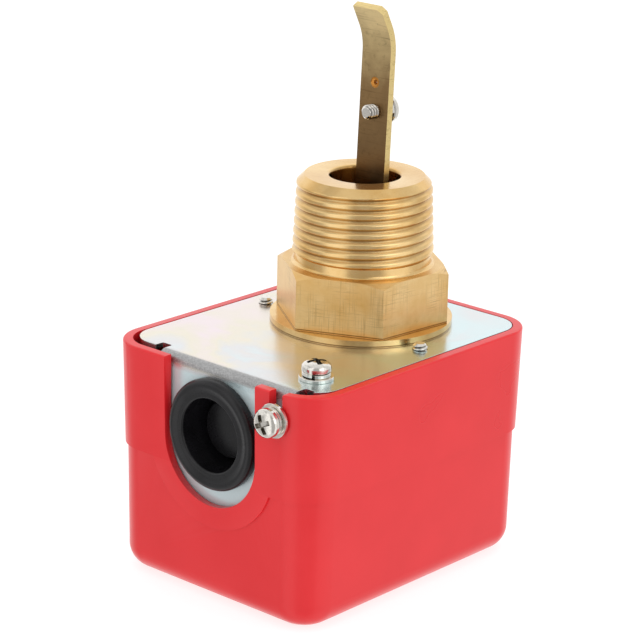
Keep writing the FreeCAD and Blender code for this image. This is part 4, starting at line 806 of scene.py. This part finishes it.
def grommetProfile(size, outer):
    face, floorAt = size["lip"], size["lip"] - size["cup"]
    foot, base = -size["sheet"] - size["innerLip"], floorAt - size["web"]
    shell, mouth, bead, rim = size["floor"] + size["web"], size["mouth"], size["bead"], size["rim"]
    reach, pad = size["padRadius"], floorAt + size["padHeight"]
    return [(0, base), (shell, base), (shell, foot), (outer - 1, foot),
            (outer, -size["sheet"]), (size["hole"], -size["sheet"]), (size["hole"], 0),
            (outer - 0.5, 0), (outer - 0.06, 0.35),
            *arc((outer - bead, face - bead), bead, 10, 115, 11),
            (outer - 2 * bead, face - size["trough"]),
            (mouth + 1.25, face - size["trough"] - 0.04),
            *arc((mouth + rim, face - rim - size["rimDrop"]), rim, 105, 180, 7),
            (mouth - 0.1, face - 3), (size["floor"] + 0.1, floorAt + 0.6),
            (size["floor"] - 0.2, floorAt), (reach + 0.2, floorAt), (reach, pad - 0.9),
            (reach - 0.7, pad), (reach - 1.6, pad + 0.1), (3, pad + 0.25), (0, pad + 0.3)]


grommetAt = (grommetLow + grommetHigh) / 2
grommetAt[1] = grommetLow[1] + grommetSizes["lip"]
makePiece("cable_grommet_finished",
          [placed(revolved(grommetProfile(grommetSizes, (grommetHigh - grommetLow)[0] / 2), 128),
                  grommetAt, front)], rubber, "cable_grommet", sharp=44)

print("scene: mechanism")
for node, material, edge in (("mechanism_frame", frameZinc, 0.15), ("rocker", armSteel, 0.15),
                             ("body_lock_nut", brass, 0.3), ("bellows_cap", bronze, 0.1),
                             ("range_nut", brass, 0.2), ("switch_case", phenolic, 0.2),
                             ("switch_leaf", springSteel, 0.08),
                             ("switch_terminals", tinned, 0.1),
                             ("insulator_card", fishPaper, 0.06),
                             ("lever_rivets", armSteel, 0.1), ("pivot_clips", pinSteel, 0.1),
                             ("pivot_pin", pinSteel, 0.2)):
    softened(node, material, edge)
for node, material in (("bellows", bronze), ("range_screw", screwPlating),
                       ("switch_plunger", plungerRed)):
    mesh = frame["nodes"][node].data
    mesh.materials.clear()
    mesh.materials.append(material)

# Range spring in two lengths that meet in still wire, an upper and a lower one, both left
# where they are built
springSizes = {"wire": 1.1, "turns": 4.5, "upper": 4.0}
springLow, springHigh = boxOf("range_spring")
springX, springY = ((springLow + springHigh) / 2)[:2]


def coiled(size, start, stop, around=16, perTurn=48):
    # a round wire on a helix: middle (r cos a, r sin a, z), ring = middle + w (cos s N + sin s B)
    # with N outwards from the axis and B square to both N and the wire
    share = np.linspace(start, stop, int((stop - start) * size["turns"] * perTurn) + 2)
    angle = share[:, None] * size["turns"] * 2 * np.pi
    section = np.linspace(0, 2 * np.pi, around + 1)
    section[-1] = 0
    reach = (springHigh[0] - springLow[0] - size["wire"]) / 2
    climb = springHigh[2] - springLow[2] - size["wire"]
    slope = np.arctan2(climb, 2 * np.pi * size["turns"] * reach)
    out = size["wire"] / 2 * np.cos(section)
    beside = size["wire"] / 2 * np.sin(section)
    ring = np.stack([(reach + out) * np.cos(angle) - beside * np.sin(slope) * np.sin(angle),
                     (reach + out) * np.sin(angle) + beside * np.sin(slope) * np.cos(angle),
                     climb * share[:, None] - beside * np.cos(slope)], axis=-1)
    middle = ring[:, :-1].mean(axis=1, keepdims=True).repeat(around + 1, axis=1)
    foot = np.array([springX, springY, springLow[2] + size["wire"] / 2])
    return np.concatenate([middle[:1], ring, middle[-1:]]) + foot


still = (springX * mm, springY * mm, (springHigh[2] - springSizes["upper"]) * mm)
split = 1 - (springSizes["upper"] - springSizes["wire"] / 2) / (
    springHigh[2] - springLow[2] - springSizes["wire"])
for name, start, stop, body, end in (
        ("range_spring_upper", split, 1, "lever_body", springHigh[2] - springSizes["wire"]),
        ("range_spring_lower", 0, split, "range_nut_body", springLow[2] + springSizes["wire"])):
    makePiece(name, [coiled(springSizes, start, stop)], springSteel, "range_spring", sharp=60,
              between=("housing", body, still, (springX * mm, springY * mm, end * mm)))

print("scene: floor, light and camera")
# "floorHalf" is half the floor's width in metres
stageSizes = {"floorHalf": 6.0, "floor": "#949494", "glow": 0.8}
floorLevel = cadBox[0][2]
floorMesh = bpy.data.meshes.new("floor")
half = stageSizes["floorHalf"]
floorMesh.from_pydata([(-half, -half, floorLevel), (half, -half, floorLevel),
                       (half, half, floorLevel), (-half, half, floorLevel)], [], [(0, 1, 2, 3)])
floor = bpy.data.objects.new("floor", floorMesh)
bpy.context.scene.collection.objects.link(floor)
floorMesh.materials.append(newMaterial(
    "floorPaper", Roughness=0.9, Base_Color=linear(stageSizes["floor"]),
    Emission_Color=(1, 1, 1, 1), Emission_Strength=stageSizes["glow"])[0])
floor.visible_glossy = False  # the metals mirror the tent, not the paper

world = bpy.data.worlds.new("studio")
bpy.context.scene.world = world
world.use_nodes = True
# A light tent seen by the metals: bright behind the part, two tall bright panels in front of it
# and greyer gaps between them. Angles are degrees round Z from +X, tones are brightness.
tentSizes = {"tones": [(-180, 1.05), (-158, 0.6), (-122, 0.55), (-108, 1.15), (-80, 1.15),
                       (-70, 0.5), (-18, 0.5), (-6, 1.1), (30, 1.1), (42, 0.8), (72, 0.8),
                       (84, 1.1), (180, 1.1)],
             "peak": 1.2, "top": 0.85, "below": 0.8, "strength": 1.03}
tent = world.node_tree
direction = addNode(tent, "TexCoord").outputs["Generated"]
towards = addNode(tent, "SeparateXYZ", {0: direction})
bearing = addNode(tent, "Math", {0: towards.outputs[1], 1: towards.outputs[0]},
                  operation="ARCTAN2")
share = addNode(tent, "MapRange", {"Value": bearing, 1: -math.pi, 2: math.pi})
panels = rampOf(tent, share, [((angle + 180) / 360, (tone / tentSizes["peak"],) * 3) for angle,
                              tone in tentSizes["tones"]])
walls = addNode(tent, "VectorMath", {0: panels, 1: (tentSizes["peak"],) * 3}, operation="MULTIPLY")
rise = addNode(tent, "MapRange", {"Value": towards.outputs[2], 1: 0.75, 2: 0.95},
               interpolation_type="SMOOTHSTEP")
fall = addNode(tent, "MapRange", {"Value": towards.outputs[2], 1: -0.98, 2: -0.75},
               interpolation_type="SMOOTHSTEP")
upper = addNode(tent, "Mix", {0: rise, 6: walls, 7: (tentSizes["top"],) * 3 + (1,)},
                data_type="RGBA").outputs[2]
lower = addNode(tent, "Mix", {0: fall, 6: (tentSizes["below"],) * 3 + (1,), 7: upper},
                data_type="RGBA").outputs[2]
plug(tent.nodes["Background"], {"Color": lower, "Strength": tentSizes["strength"]})

# a softbox to each side and one overhead, all aimed at the middle of the part (metres, watts)
softboxes = {"left": {"at": (-0.9, -0.75, 0.55), "size": (0.9, 0.9), "power": 1.0},
             "right": {"at": (1.1, -0.25, 0.5), "size": (0.9, 0.9), "power": 2.0},
             "overhead": {"at": (0.1, 0.1, 1.2), "size": (1.0, 1.0), "power": 3.2}}
for name, lamp in softboxes.items():
    light = bpy.data.lights.new(name, "AREA")
    light.shape = "RECTANGLE"
    light.size, light.size_y = lamp["size"]
    light.energy = lamp["power"]
    holder = bpy.data.objects.new(name, light)
    holder.visible_glossy = name != "overhead"  # the plate mirrors the tent's top instead
    bpy.context.scene.collection.objects.link(holder)
    facing = turned(lamp["at"])
    holder.matrix_world = Matrix([[*facing[0], lamp["at"][0]], [*facing[1], lamp["at"][1]],
                                  [*facing[2], lamp["at"][2]], [0, 0, 0, 1]])

# camera: place in metres, angles in degrees, lens for a 36 mm sensor
cameraSizes = {"place": (0.38268, -0.44629, 0.17453), "azimuth": 41.546, "elevation": 18.077,
               "roll": 1.399, "lens": 147.6}
azimuth, elevation, roll = (math.radians(cameraSizes[key])
                            for key in ("azimuth", "elevation", "roll"))
backward = np.array([math.sin(azimuth) * math.cos(elevation),
                     -math.cos(azimuth) * math.cos(elevation), math.sin(elevation)])
level = np.array([math.cos(azimuth), math.sin(azimuth), 0])
upright = np.cross(backward, level)
sideways = math.cos(roll) * level + math.sin(roll) * upright
upright = math.cos(roll) * upright - math.sin(roll) * level
camera = bpy.data.objects.new("camera", bpy.data.cameras.new("camera"))
bpy.context.scene.collection.objects.link(camera)
camera.data.lens = cameraSizes["lens"]
camera.data.clip_start = 0.01
camera.data.clip_end = 20
axes = np.stack([sideways, upright, backward], axis=1)
camera.matrix_world = Matrix([[*axes[row], cameraSizes["place"][row]] for row in range(3)]
                             + [[0, 0, 0, 1]])
bpy.context.scene.camera = camera
bpy.context.scene.view_settings.view_transform = "Standard"
